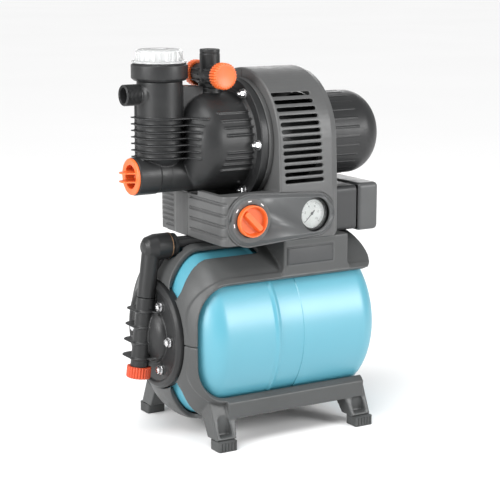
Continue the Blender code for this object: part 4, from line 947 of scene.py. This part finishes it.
def build_console():
    for tag, low_y, high_y in (("front", -0.3, SEAM_Y - GAP / 2), ("rear", SEAM_Y + GAP / 2, 0.3)):
        body = console_body()
        cut = [console_hollow(), disc(COVER_R + 0.001, 0.3, (-0.1, 0, SHAFT_Z), "+X", 128)]
        cut.append(box("tray", (-0.116, -0.088, 0.388), (-0.0237, 0.084, 0.45), 0.006, 4, "Z"))
        cut += cooling_slots(-1 if tag == "front" else 1)
        if tag == "front":
            cut.append(disc(GAUGE_HOLE_R, 0.03, (GAUGE_X, CONSOLE_FRONT_Y - 0.01, GAUGE_Z), "+Y"))
            cut.append(disc(KNOB_HOLE_R, 0.03, (KNOB_X, CONSOLE_FRONT_Y - 0.01, KNOB_Z), "+Y"))
            grooves = [console_groove(z, 0.0050, 0.0027, SEAM_Y - 0.0080) for z in GROOVE_Z]
        else:
            out_x, deep_x = -0.130, -0.1235
            levels = [0.3325 + 0.0085 * i for i in range(8)]
            grooves = [box("groove", (out_x, 0.045, z - 0.0021), (deep_x, 0.089, z + 0.0021)) for z in levels]
            chamfer = [(0.064, 0.318), (0.1, 0.318), (0.1, 0.338), (0.082, 0.338)]
            cut.append(prism("chamfer", chamfer, out_x, deep_x, "X"))
            bulge = [
                (-0.1250, 0.0035), (-0.1265, 0.0050), (-0.1276, 0.0110), (-0.1280, 0.0225), (-0.1276, 0.0340),
                (-0.1265, 0.0400), (-0.1250, 0.0415),
            ]
            combine(body, add=[prism("column", bulge, CONSOLE_Z[0] + 0.001, CONSOLE_Z[1] - 0.004, "Z")])
        low_hole, high_hole = (-0.1188, PIPE_HEAD.y - 0.0128, 0.31), (-0.0952, PIPE_HEAD.y + 0.0128, 0.33)
        cut.append(box("manifold_hole", low_hole, high_hole))
        cut.append(box("tube_notch", (-0.14, -0.0340, 0.3925), (-0.1100, 0.0340, 0.45), 0.002, 3))
        combine(body, cut=cut, keep=box("side", (-0.3, low_y, 0.2), (0.3, high_y, 0.7)))
        for groove in grooves:
            combine(body, cut=[groove])
        mould(body, 0.0012, 2)
        if tag == "front":
            front = CONSOLE_FRONT_Y
            inner = prism("inner", panel_outline(-0.0010), -0.13, -0.11, "Y")
            moat = prism("moat", panel_outline(0.0013), front - 0.002, front + 0.0014, "Y")
            combine(body, cut=[combine(moat, cut=[inner])])
        fit(body, f"console_{tag}_shell", "pump_set", CONSOLE_GREY, "console_grey", f"console_{tag}")


def build_manifold():
    y, z = PIPE_HEAD.y, PIPE_HEAD.z
    low, high = MANIFOLD_X
    block = box("block", (-0.1525, y - 0.0120, 0.3072), (high, y + 0.0120, 0.3215), 0.001)
    add = [
        disc(0.0190, 0.0062, (low, y, z), "+X"),
        box("tower", (-0.1180, y - 0.0120, 0.3100), (high, y + 0.0120, 0.3915), 0.001),
    ]
    combine(block, add=add, cut=[disc(0.0098 + GAP, 0.0058, (low - 0.0005, y, z), "+X")])
    mould(block, 0.0009, 2)
    fit(block, "pressure_block", "pump_set", PUMP_BLACK, "pump_black", "pressure_manifold")


def panel_outline(grow=0.0):
    """The keyhole: a big round end about the knob and a smaller one about the gauge."""
    big, small, far_x = 0.0425 + grow, 0.0345 + grow, 0.0435
    flat = math.degrees(math.acos((big - small) / (far_x - KNOB_X)))
    round_knob = arc((KNOB_X, KNOB_Z), big, flat, 360 - flat, 64)
    return round_knob + arc((far_x, GAUGE_Z + 0.0005), small, -flat, flat, 40)


def build_panel():
    edge = 0.0007
    back_y = CONSOLE_FRONT_Y - GAP
    panel = prism("panel", panel_outline(), PANEL_FACE_Y + edge, back_y, "Y")
    bevel_y = PANEL_FACE_Y + edge + 0.00001
    bevel = loft("bevel", panel_outline(-edge), panel_outline(), PANEL_FACE_Y, bevel_y, "Y")
    cut = [
        disc(GAUGE_HOLE_R, 0.03, (GAUGE_X, PANEL_FACE_Y - 0.01, GAUGE_Z), "+Y", 96),
        disc(KNOB_HOLE_R, 0.03, (KNOB_X, PANEL_FACE_Y - 0.01, KNOB_Z), "+Y"),
    ]
    shallow = PANEL_FACE_Y - 0.001
    for x in (KNOB_X - 0.0385, 0.0735):
        cut.append(disc(0.0022, 0.0018, (x, shallow, KNOB_Z - 0.001), "+Y", 24))
    groove = prism("groove", panel_outline(-0.0022), shallow, PANEL_FACE_Y + 0.0004, "Y")
    combine(groove, cut=[prism("inner", panel_outline(-0.0029), shallow - 0.001, 0, "Y")])
    combine(panel, add=[bevel], cut=cut + [groove])
    fit(panel, "keyhole_panel", "pump_set", PANEL_GREY, "panel_grey", "control_panel")

    thick, mark_r = 0.0022, 0.0308
    bezel = [
        (0.0262, 0.0), (0.0262, 0.0016), (0.0268, thick), (0.0346, thick), (0.0350, 0.0018), (0.0350, 0.0),
    ]
    dial = lathe("bezel", bezel, (KNOB_X, PANEL_FACE_Y - GAP, KNOB_Z), "-Y", 144, edge=0.0003)
    fit(dial, "selector_bezel", "pump_set", CONSOLE_GREY, "console_grey", "knob_bezel")
    marks = []
    face_y = PANEL_FACE_Y - GAP - thick
    for degrees in (190, 145, 95, 50):
        t = math.radians(degrees)
        x, z = KNOB_X + mark_r * math.cos(t), KNOB_Z + mark_r * math.sin(t)
        tick = box("tick", (-0.0030, -0.00012, -0.0008), (0.0030, 0.00012, 0.0008), 0.0001, 1)
        tick.data.transform(Matrix.Translation((x, face_y, z)) @ Matrix.Rotation(math.pi / 2 - t, 4, "Y"))
        marks.append(tick)
    fit(merge("marks", marks), "selector_marks", "pump_set", PRINT, "white")

    low, high = Vector((-0.007, -PEDESTAL_Y - 0.0022, 0.2805)), Vector((0.080, -PEDESTAL_Y - GAP, 0.3090))
    inset = Vector((0.002, 0, 0.002))
    plate = box("plate", low + Vector((0, 0.0008, 0)), high, 0.0004, 2)
    combine(plate, add=[box("raised", low + inset, high - inset, 0.0005)])
    fit(plate, "blank_nameplate", "pump_set", DARK_GREY, "panel_grey", "badge_plate")


def build_knob():
    base_y = PANEL_FACE_Y - 0.0008
    where = (KNOB_X, base_y, KNOB_Z)
    cup = [
        (0, 0.0022), (0.0195, 0.0022), (0.0212, 0.0045), (0.0226, 0.0102), (0.0238, 0.0112), (KNOB_R, 0.0098),
        (KNOB_R, 0), (0, 0),
    ]
    knob = lathe("knob", cup, where, "-Y", 128, edge=0.0010)
    half_top, half_root, length = 0.0040, 0.0062, 0.0216
    root = rounded_rectangle(-half_root, -length, half_root, length, 0.003)
    top = rounded_rectangle(-half_top, -length + 0.002, half_top, length - 0.002, 0.003)
    grip = loft("grip", top, root, -0.0118, -0.001, "Y")
    grip.data.transform(Matrix.Translation(where) @ Matrix.Rotation(-math.radians(45), 4, "Y"))
    stem = disc(0.0042, 0.020, (KNOB_X, base_y - 0.001, KNOB_Z), "+Y")
    combine(knob, add=[grip, stem])
    mould(knob, 0.00055, 3)
    fit(knob, "selector_knob_moulding", "knob", ORANGE, "orange", "selector_knob")


def build_gauge():
    face_y = -0.1085
    where = (GAUGE_X, face_y, GAUGE_Z)
    case = [
        (GAUGE_R, 0.0046), (0.0262, 0.0046), (0.0262, 0.0), (0.0205, -0.020), (0.006, -0.021),
        (0.006, -0.034), (0, -0.034), (0, -0.0030), (GAUGE_R, -0.0030),
    ]
    housing = lathe("case", case, where, "-Y", edge=0.0004)
    fit(housing, "gauge_housing", "pump_set", PUMP_BLACK, "pump_black", "gauge_case")
    dial_y = face_y + 0.0016
    plate = disc(GAUGE_R - GAP, 0.0010, (GAUGE_X, face_y + 0.0026, GAUGE_Z), "-Y", 96, edge=0.0002)
    fit(plate, "gauge_scale_plate", "pump_set", WHITE, "white", "gauge_dial")
    marks = []
    for i in range(SCALE_TICKS + 1):
        t = math.radians(SCALE_START - SCALE_SWEEP * i / SCALE_TICKS)
        inner_r, half = (0.0178, 0.00018) if i % 8 else (0.0162, 0.00035)
        tick = box("tick", (inner_r, -0.00006, -half), (0.0200, 0.00006, half))
        tick.data.transform(Matrix.Translation((GAUGE_X, dial_y, GAUGE_Z)) @ Matrix.Rotation(-t, 4, "Y"))
        marks.append(tick)
    number_r = 0.0125
    for i in range(SCALE_NUMBERS):
        t = math.radians(SCALE_START - SCALE_SWEEP / (SCALE_NUMBERS - 1) * i)
        text = bpy.data.curves.new("number", "FONT")
        text.body, text.size, text.extrude = str(2 * i), 0.0052, 0.00005
        text.align_x = text.align_y = "CENTER"
        label = linked("number", text)
        mesh = bpy.data.meshes.new_from_object(label.evaluated_get(bpy.context.evaluated_depsgraph_get()))
        bpy.data.objects.remove(label)
        spot = (GAUGE_X + number_r * math.cos(t), dial_y, GAUGE_Z + number_r * math.sin(t))
        mesh.transform(Matrix.Translation(spot) @ Matrix.Rotation(math.pi / 2, 4, "X"))
        marks.append(linked("number", mesh))
    fit(merge("scale", marks), "gauge_scale", "pump_set", INK, "pump_black")
    needle_y = face_y + 0.0010
    hub_profile = [(0, 0.0018), (0.0022, 0.0016), (0.0026, 0), (0, 0)]
    hub = lathe("hub", hub_profile, (GAUGE_X, needle_y, GAUGE_Z), "-Y", 48)
    lean = math.radians(SCALE_START)
    tip = Vector((math.cos(lean), math.sin(lean)))
    side = Vector((-tip.y, tip.x))
    shape = [
        tip * 0.0185, tip * 0.004 + side * 0.0007, side * 0.0009 - tip * 0.0065,
        side * -0.0009 - tip * 0.0065, tip * 0.004 - side * 0.0007,
    ]
    outline = [(GAUGE_X + p.x, GAUGE_Z + p.y) for p in shape]
    hand = prism("hand", outline, needle_y - 0.0011, needle_y - 0.0005, "Y")
    fit(merge("needle", [hub, hand]), "gauge_hand", "needle", INK, "pump_black", "gauge_needle")
    r = GAUGE_R - GAP
    lens = [(0, 0.0018)] + [(r * s, 0.0018 - 0.0006 * s * s) for s in (0.25, 0.5, 0.75, 1.0)]
    lens += [(r, 0.0), (r * 0.6, 0.0004), (0, 0.0006)]
    glass = lathe("lens", lens, (GAUGE_X, face_y - 0.0022, GAUGE_Z), "-Y", 96, edge=0.0002)
    fit(glass, "gauge_window", "pump_set", CLEAR, "clear", "gauge_lens")


# ---------------------------------------------------------------- motor and fan cover
def build_motor():
    """The pump's end bracket and the nuts of its flange."""
    bracket = [
        (PUMP_FLANGE_R, -0.0246), (PUMP_FLANGE_R, -0.0326), (0.0160, -0.0326), (0.0160, -0.0282),
        (0.0570, -0.0282), (0.0570, -0.0246),
    ]
    plate = lathe("bracket", bracket, (0, 0, SHAFT_Z), "+X", 144, edge=0.0008)
    fit(plate, "motor_bracket_turned", "pump_set", CONSOLE_GREY, "iron", "motor_bracket")
    nut_circle("pump_nuts", PUMP_FLANGE_X[0], SHAFT_Z, PUMP_BOLT_R, PUMP_NUT)


def cover_profile(inset):
    pole = COVER_X[1] - inset
    depth, radius = 0.048, COVER_R - 0.001 - inset
    turns = [math.radians(90 * i / 24) for i in range(25)]
    return [(radius * math.sin(t) ** 0.85, pole - depth * (1 - math.cos(t))) for t in turns]


def build_fan_cover():
    collar_x, rib_x = 0.106, (0.112, 0.160)
    outer = cover_profile(0)
    outer[0] = (0, COVER_X[1])
    outer += [(COVER_R - 0.001, collar_x + 0.0012), (COVER_R, collar_x), (COVER_R, COVER_X[0])]
    inner = [(COVER_R - COVER_WALL, COVER_X[0])] + cover_profile(COVER_WALL)[::-1]
    inner[-1] = (0, COVER_X[1] - COVER_WALL)
    cover = lathe("cover", outer + inner, (0, 0, SHAFT_Z), "+X", 192)
    rib_low, rib_high = (rib_x[0], -0.0010, COVER_R - 0.0025), (rib_x[1], 0.0010, COVER_R - 0.0001)
    ribs = []
    for _, _, turn in around(1, 28):
        rib = box("rib", rib_low, rib_high, 0.0007, 2)
        rib.data.transform(Matrix.Translation((0, 0, SHAFT_Z)) @ Matrix.Rotation(turn, 4, "X"))
        ribs.append(rib)
    outline = rounded_rectangle(-0.0022, -0.0042, 0.0022, 0.0042, 0.0021, 4)
    vents = []
    for radius, count in ((0.018, 6), (0.030, 12), (0.042, 18)):
        for y, z, turn in around(radius, count):
            vent = prism("vent", outline, 0.17, 0.25, "X")
            vent.data.transform(Matrix.Translation((0, y, SHAFT_Z + z)) @ Matrix.Rotation(turn, 4, "X"))
            vents.append(vent)
    combine(cover, add=ribs, cut=vents)
    mould(cover, 0.0009, 3)
    fit(cover, "fan_cover_ribbed", "pump_set", PUMP_BLACK, "pump_black", "fan_cover")


def build_terminal_box():
    low_x, high_x = 0.0925, 0.200

    def between(near_x, far_x, inset):
        return (near_x, BOX_Y[0] + inset, BOX_Z[0] + inset), (far_x, BOX_Y[1] - inset, BOX_Z[1] - inset)

    base = box("base", *between(low_x, BOX_SPLIT_X - GAP, 0.003), 0.008, 6, "X")
    cut = [
        box("hollow", *between(low_x + 0.003, high_x, 0.006)),
        disc(0.0068, 0.02, (0.126, BOX_Y[1] - 0.012, 0.336), "+Y"),
    ]
    for x in (0.140, 0.146):
        core = box("core", *between(x - 0.01, x + 0.01, 0.0042), 0.007, 6, "X")
        cut.append(combine(box("groove", *between(x, x + 0.0012, 0.002)), cut=[core]))
    combine(base, cut=cut)
    mould(base, 0.0009, 2)
    fit(base, "terminal_box_base", "pump_set", DARK_GREY, "panel_grey", "terminal_box")
    lid = box("lid", *between(BOX_SPLIT_X, high_x, 0), 0.008, 6)
    ys = (BOX_Y[0] + SCREW_INSET, BOX_Y[1] - SCREW_INSET)
    zs = (BOX_Z[0] + SCREW_INSET, BOX_Z[1] - SCREW_INSET)
    spots = [(y, z) for y in ys for z in zs]
    wells = [disc(0.0040, 0.0040, (high_x + 0.001, y, z), "-X", 32) for y, z in spots]
    combine(lid, cut=[box("hollow", *between(0.1, high_x - 0.004, 0.004))] + wells)
    mould(lid, 0.0009, 2)
    fit(lid, "terminal_box_cover", "pump_set", PANEL_GREY, "panel_grey", "terminal_box_lid")
    profile = [(0, 0.0016), (0.0020, 0.0015), (0.0032, 0.0004), (0.0032, 0), (0, 0)]
    heads = []
    for y, z in spots:
        head = lathe("head", profile, (high_x - 0.0029, y, z), "+X", 32)
        slot = box("slot", (high_x - 0.0019, y - 0.0026, z - 0.0004), (high_x, y + 0.0026, z + 0.0004))
        heads.append(combine(head, cut=[slot]))
    fit(merge("heads", heads), "lid_screws", "pump_set", STEEL, "steel")


# ---------------------------------------------------------------- pump housing, tower and outlet
def dome_profile(radius, left_x, right_x, corner, steps=16):
    turns = [math.radians(90 * i / steps) for i in range(steps + 1)]
    bend = [(radius - corner + corner * math.cos(t), left_x + corner - corner * math.sin(t)) for t in turns]
    return [(0, right_x), (radius, right_x)] + bend + [(0, left_x)]


def build_pump_housing():
    centre = (0, 0, SHAFT_Z)
    rim_left, rim_right = PUMP_FLANGE_X
    housing = lathe("drum", dome_profile(DOME_R, PUMP_LEFT_X, rim_right, 0.042), centre, "+X", 128, edge=0)
    step_x = rim_left - 0.003
    rim = [
        (0, rim_right), (PUMP_FLANGE_R, rim_right), (PUMP_FLANGE_R, rim_left), (0.084, rim_left),
        (0.081, step_x), (0, step_x),
    ]
    tower = [
        (0, TOWER_TOP_Z), (TOWER_R, TOWER_TOP_Z), (TOWER_R, 0.452), (0.024, 0.441), (0.024, TUBE_Z),
        (0, TUBE_Z),
    ]
    waist = TUBE_R - 0.0012
    tube = [
        (0, -0.120), (waist, -0.120), (waist, -0.1660), (waist - 0.0008, -0.1664),
        (waist - 0.0008, -0.1672), (waist, -0.1676), (waist, -0.1850), (TUBE_R, -0.1860),
        (TUBE_R, TUBE_FACE_X), (0, TUBE_FACE_X),
    ]
    add = [
        lathe("rim", rim, centre, "+X", 144, edge=0),
        lathe("tower", tower, (TOWER_X, 0, 0), "+Z", 96, edge=0.002),
        lathe("tube", tube, (0, 0, TUBE_Z), "+X", 96, edge=0.0003),
        disc(0.0190, 0.040, (TEE_X, 0, 0.5180), "+Z"),
    ]
    reach = 0.072
    port = [
        (0, reach), (0.0146, reach), (0.0146, 0.044), (0.0195, 0.040), (0.0255, 0.030), (0.0255, 0.0), (0, 0),
    ]
    add.append(lathe("port", port, (PORT_FACE_X + reach, 0, PORT_Z), "-X", edge=0.002))
    bridge = [
        (TOWER_X, 0.516), (-0.095, 0.516), (-0.095, 0.549), (-0.1045, 0.551), (-0.1045, 0.561),
        (TOWER_X, 0.566),
    ]
    add.append(prism("bridge", bridge, -0.017, 0.017, "Y"))
    fin_r, fin_half = 0.041, 0.00115
    outline = arc((TOWER_X, 0), fin_r, 90, 270, 32) + [(-0.105, -fin_r), (-0.105, fin_r)]
    for z in RIB_LEVELS:
        add.append(prism("fin", outline, z - fin_half, z + fin_half, "Z"))
        add.append(disc(0.0030, 0.0023, (TOWER_X - 0.0368, 0.0222, z - fin_half), "+Z", 24))
    slabs = []
    for z in RIB_LEVELS:
        slabs.append(box("slab", (-0.16, -0.062, z - 0.0011), (-0.106, 0.062, z + 0.0011), 0.001, 2, "Y"))
    skin_profile = dome_profile(DOME_R + 0.0022, PUMP_LEFT_X - 0.0022, -0.10, 0.0425)
    skin = lathe("skin", skin_profile, centre, "+X", edge=0)
    add.append(combine(skin, keep=merge("slabs", slabs)))
    web = box("web", (-0.0400, -0.0013, RIB_Z[0]), (-0.030, 0.0013, PORT_Z - 0.01))
    web.data.transform(Matrix.Translation((TOWER_X, 0, 0)) @ Matrix.Rotation(-math.radians(31), 4, "Z"))
    add.append(web)
    upper = [0.5235 - 0.0115 * i for i in range(4)]
    lower = [0.4615 - 0.0094 * i for i in range(4)]
    for row in (upper, lower):
        for i, z in enumerate(row):
            reach = math.sqrt(DOME_R**2 - (z - SHAFT_Z) ** 2)
            inset = 0.0028 * abs(i - (3 if row is upper else 0))
            for side in (-1, 1):
                low_y, high_y = sorted((side * 0.03, side * (reach + 0.0026)))
                add.append(box("ridge", (-0.0955 - inset, low_y, z - 0.0012), (rim_left, high_y, z + 0.0012)))
    chamber = dome_profile(DOME_R - 0.004, PUMP_LEFT_X + 0.004, rim_right + 0.01, 0.038)
    cut = [
        lathe("chamber", chamber, centre, "+X", edge=0),
        disc(TOWER_R - 0.0035, 0.14, (TOWER_X, 0, 0.452), "+Z"),
        disc(0.018, 0.04, (TOWER_X, 0, TUBE_Z), "+Z"),
        disc(0.0245, 0.115, (TUBE_FACE_X - 0.01, 0, TUBE_Z), "+X"),
        disc(0.0125, 0.06, (PORT_FACE_X - 0.01, 0, PORT_Z), "+X"),
        disc(0.0125, 0.06, (TEE_X, 0, 0.53), "+Z"),
    ]
    combine(housing, add=add, cut=cut)
    mould(housing, 0.0010, 3)
    fit(housing, "pump_body_moulding", "pump_set", PUMP_BLACK, "pump_black", "pump_housing")


def build_suction_thread():
    pitch, root, bore, crest = 0.0023, 0.0150, 0.0148, PORT_R
    length = 0.026
    tip = length + 0.0016
    thread = [(crest - 0.0012, tip), (crest - 0.0004, length + 0.0008)]
    for i in range(int(length / pitch)):
        top = length - i * pitch
        thread += [(crest, top - 0.0002), (crest, top - 0.0006), (root, top - 0.0013), (root, top - 0.0017)]
    thread += [(root, 0.0), (bore, 0.0), (bore, tip)]
    collar = lathe("thread", thread, (PORT_FACE_X + tip, 0, PORT_Z), "-X", edge=0)
    fit(collar, "suction_thread", "pump_set", PUMP_BLACK, "pump_black")


def build_filter():
    base, height, seal = TOWER_TOP_Z + GAP, 0.0252, 0.0016
    seat = [
        (COLLAR_R - 0.0012, height), (COLLAR_R, 0.0238), (COLLAR_R, 0.0040), (COLLAR_R - 0.0018, 0.0022),
        (0.0400, 0.0), (0.0328, 0.0), (0.0328, 0.004), (0.0375, 0.004), (0.0375, height),
    ]
    collar = lathe("collar", seat, (TOWER_X, 0, base), "+Z", 144, edge=0.0012)
    fit(collar, "filter_collar_turned", "pump_set", PUMP_BLACK, "pump_black", "filter_collar")
    lid_z = base + height + seal + 2 * GAP

    def facets(turn, radius, height):
        return -0.0010 * abs(math.sin(turn * 14)) if 0.036 < radius < 0.0376 and height > 0.003 else 0.0

    lid = [
        (0, 0.0196), (0.0120, 0.0196), (0.0130, 0.0205), (0.0330, 0.0205), (0.0368, 0.0180),
        (0.0372, 0.0032), (0.0430, 0.0028), (0.0430, 0.0), (0.0370, 0.0), (0.0370, -0.012),
        (0.0345, -0.012), (0.0345, 0.0160), (0.0325, 0.0184), (0, 0.0180),
    ]
    cover = lathe("lid", lid, (TOWER_X, 0, lid_z), "+Z", 224, edge=0.0008, wave=facets)
    fit(cover, "filter_lid_clear", "filter_cover", FROSTED, "clear", "filter_lid")
    low_z, first_row, row_pitch, rows, holes_round = 0.4530, 0.010, 0.0112, 9, 16
    wall = [
        (0.0315, 0.1190), (0.0315, 0.1175), (0.0275, 0.1165), (0.0255, 0.0), (0, 0.0), (0, 0.0015),
        (0.0240, 0.0015), (0.0262, 0.1190),
    ]
    basket = lathe("basket", wall, (TOWER_X, 0, low_z), edge=0.0004)
    holes = []
    for level in range(rows):
        centre = Matrix.Translation((TOWER_X, 0, low_z + first_row + level * row_pitch))
        for _, _, turn in around(1, holes_round, 11 * (level % 2)):
            hole = box("hole", (0.020, -0.0030, 0), (0.034, 0.0030, 0.0070), 0.0015, 2, "X")
            hole.data.transform(centre @ Matrix.Rotation(turn, 4, "Z"))
            holes.append(hole)
    combine(basket, cut=holes)
    fit(basket, "filter_basket_moulding", "pump_set", WHITE, "white", "filter_basket")


def build_jet_plug():
    face = TUBE_FACE_X - GAP
    plug = [
        (0.0185, 0.0040), (0.0275, 0.0042), (0.0290, 0.0028), (0.0290, 0.0), (0.0238, 0.0), (0.0238, -0.0155),
        (0, -0.0155), (0, -0.0125), (0.0180, -0.0125),
    ]
    body = lathe("plug", plug, (face, 0, TUBE_Z), "-X", 128, edge=0.0010)
    tip_r = 0.0060
    outline = [(face + 0.0130, -0.0175), (face + 0.0130, 0.0175), (face - 0.004, 0.0165)]
    outline += arc((FIN_TIP_X + tip_r, 0.0045), tip_r, 90, 180, 6)
    outline += arc((FIN_TIP_X + tip_r, -0.0045), tip_r, 180, 270, 6)
    outline += [(face - 0.004, -0.0165)]
    blades = []
    for z in (TUBE_Z - 0.0068, TUBE_Z + 0.0068):
        blades.append(prism("blade", outline, z - 0.0012, z + 0.0012, "Z"))
    combine(body, add=blades)
    mould(body, 0.0006, 2)
    fit(body, "jet_plug_moulding", "ejector_plug", ORANGE, "orange", "jet_plug")


def build_outlet():
    base, top, end_r = 0.5584, TEE_TOP_Z, 0.0164
    body = [
        (0, top), (0.0150, top), (0.0160, top - 0.001), (0.0160, top - 0.0056), (0.0154, top - 0.0062),
        (0.0154, top - 0.0072), (0.0162, top - 0.0080), (0.0162, base + 0.009), (0.0185, base + 0.007),
        (0.0185, base), (0.0120, base), (0.0120, base - 0.008), (0, base - 0.008),
    ]
    tee = lathe("tee", body, (TEE_X, 0, 0))
    add = [disc(end_r, 2 * TEE_END_Y, (TEE_X, -TEE_END_Y, TEE_Z), "+Y")]
    for side in (-1, 1):
        low_y, high_y = sorted((side * 0.010, side * (TEE_END_Y - 0.0125)))
        for level in (-0.009, 0.0, 0.009):
            z, half = TEE_Z + level, 0.0176
            add.append(box("rib", (TEE_X - half, low_y, z - 0.0009), (TEE_X + half, high_y, z + 0.0009)))
    cut = [disc(0.0102, 0.09, (TEE_X, 0, base - 0.02), "+Z"), disc(0.0118, 0.12, (TEE_X, -0.06, TEE_Z), "+Y")]
    combine(tee, add=add, cut=cut)
    mould(tee, 0.0007, 3)
    fit(tee, "outlet_tee_moulding", "pump_set", PUMP_BLACK, "pump_black", "outlet_tee")
    cap = [
        (0, 0.0050), (0.0150, 0.0053), (0.0172, 0.0060), (0.0190, 0.0058), (CAP_R, 0.0040), (CAP_R, -0.0115),
        (end_r + 0.0006, -0.0115), (end_r + 0.0006, 0.0026), (0, 0.0026),
    ]
    wave = cap_wave(CAP_R, 28, 0.0021)
    for tag, side, facing in (("front", -1, "-Y"), ("rear", 1, "+Y")):
        end = side * (TEE_END_Y + GAP)
        made = lathe("cap", cap, (TEE_X, end, TEE_Z), facing, 336, edge=0.0005, wave=wave)
        fit(made, f"outlet_cap_{tag}_knurled", f"{tag}_cap", ORANGE, "orange", f"outlet_cap_{tag}")


# ---------------------------------------------------------------- pieces carried over from the CAD
CARRIED = {
    RUBBER: ("tank_bag", "drain_cap_seal", "filter_lid_seal", "jet_plug_seal", "outlet_cap_seal_front",
             "outlet_cap_seal_rear", "shaft_seal", "check_valve_poppet"),
    STEEL: ("air_valve", "motor_shaft", "bearing_front", "bearing_rear"),
    # The motor housing takes the black plastic so that it reads dark through the cooling slots: painted shade
    # in place of its shining metal.
    PUMP_BLACK: ("air_valve_cap", "motor_housing", "rotary_switch", "cooling_fan", "cable_gland"),
    IRON: ("rotor_core", "motor_end_plate"),
    COPPER: ("motor_stator",),
    WHITE: ("run_capacitor", "ejector_nozzle", "venturi_tube", "impeller", "diffuser"),
}


def dress_carried():
    for finish, nodes in CARRIED.items():
        for node in nodes:
            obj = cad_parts[node]
            obj.data.materials.clear()
            obj.data.materials.append(finish)


# ---------------------------------------------------------------- studio
CAMERA_TARGET = Vector((-0.032, -0.057, 0.300))
CAMERA_AZIMUTH, CAMERA_ELEVATION, CAMERA_DISTANCE = -31.1, 11.2, 2.45
CAMERA_LENS = 110.16


def build_studio():
    radius, thick = 30, 0.02
    profile = [(0, 0), (radius, 0), (radius, -thick), (0, -thick)]
    floor = lathe("studio_floor", profile, (0, 0, -0.0006), "+Z", 64, edge=0)
    f = Finish("studio paper", (0.92, 0.92, 0.92), 0.9)
    f.shader.inputs["Specular IOR Level"].default_value = 0.1
    f.feed("Base Color", f.mottle(f.noise(0.8, 2), (0.915, 0.915, 0.915), (0.93, 0.93, 0.93)))
    floor.data.materials.append(f.material)

    world = bpy.data.worlds.new("studio")
    scene.world = world
    world.use_nodes = True
    sky = world.node_tree.nodes["Background"]
    sky.inputs["Color"].default_value = (1, 1, 1, 1)
    sky.inputs["Strength"].default_value = 0.50

    aim = Vector((0, 0, 0.30))
    lights = (
        ("left", (-2.5, -0.4, 1.2), 1.3, 60),
        ("front", (1.25, -2.05, 1.05), 0.95, 42),
        ("rear", (1.7, 2.0, 1.2), 1.2, 12),
    )
    for name, spot, side, power in lights:
        lamp = bpy.data.lights.new(name, "AREA")
        lamp.shape, lamp.size, lamp.energy = "SQUARE", side, power
        holder = linked(name, lamp)
        holder.location = spot
        holder.rotation_euler = (Vector(spot) - aim).to_track_quat("Z", "Y").to_euler()

    sun = bpy.data.lights.new("overhead", "SUN")
    sun.energy, sun.angle = 1.9, math.radians(35)
    overhead = linked("overhead", sun)
    overhead.rotation_euler = Vector((-0.45, -0.30, 1.0)).to_track_quat("Z", "Y").to_euler()

    azimuth, elevation = math.radians(CAMERA_AZIMUTH), math.radians(CAMERA_ELEVATION)
    flat = math.cos(elevation)
    back = Vector((math.sin(azimuth) * flat, -math.cos(azimuth) * flat, math.sin(elevation)))
    camera = bpy.data.cameras.new("camera")
    camera.lens, camera.sensor_width = CAMERA_LENS, 36
    holder = linked("camera", camera)
    holder.location = CAMERA_TARGET + back * CAMERA_DISTANCE
    holder.rotation_euler = back.to_track_quat("Z", "Y").to_euler()
    scene.camera = holder
    scene.view_settings.view_transform = "Standard"


build_studio()
build_tank()
build_upper_frame()
build_lower_frame()
build_foot_pads()
build_flange()
build_riser()
build_console()
build_manifold()
build_panel()
build_knob()
build_gauge()
build_motor()
build_fan_cover()
build_terminal_box()
build_pump_housing()
build_suction_thread()
build_filter()
build_jet_plug()
build_outlet()
dress_carried()
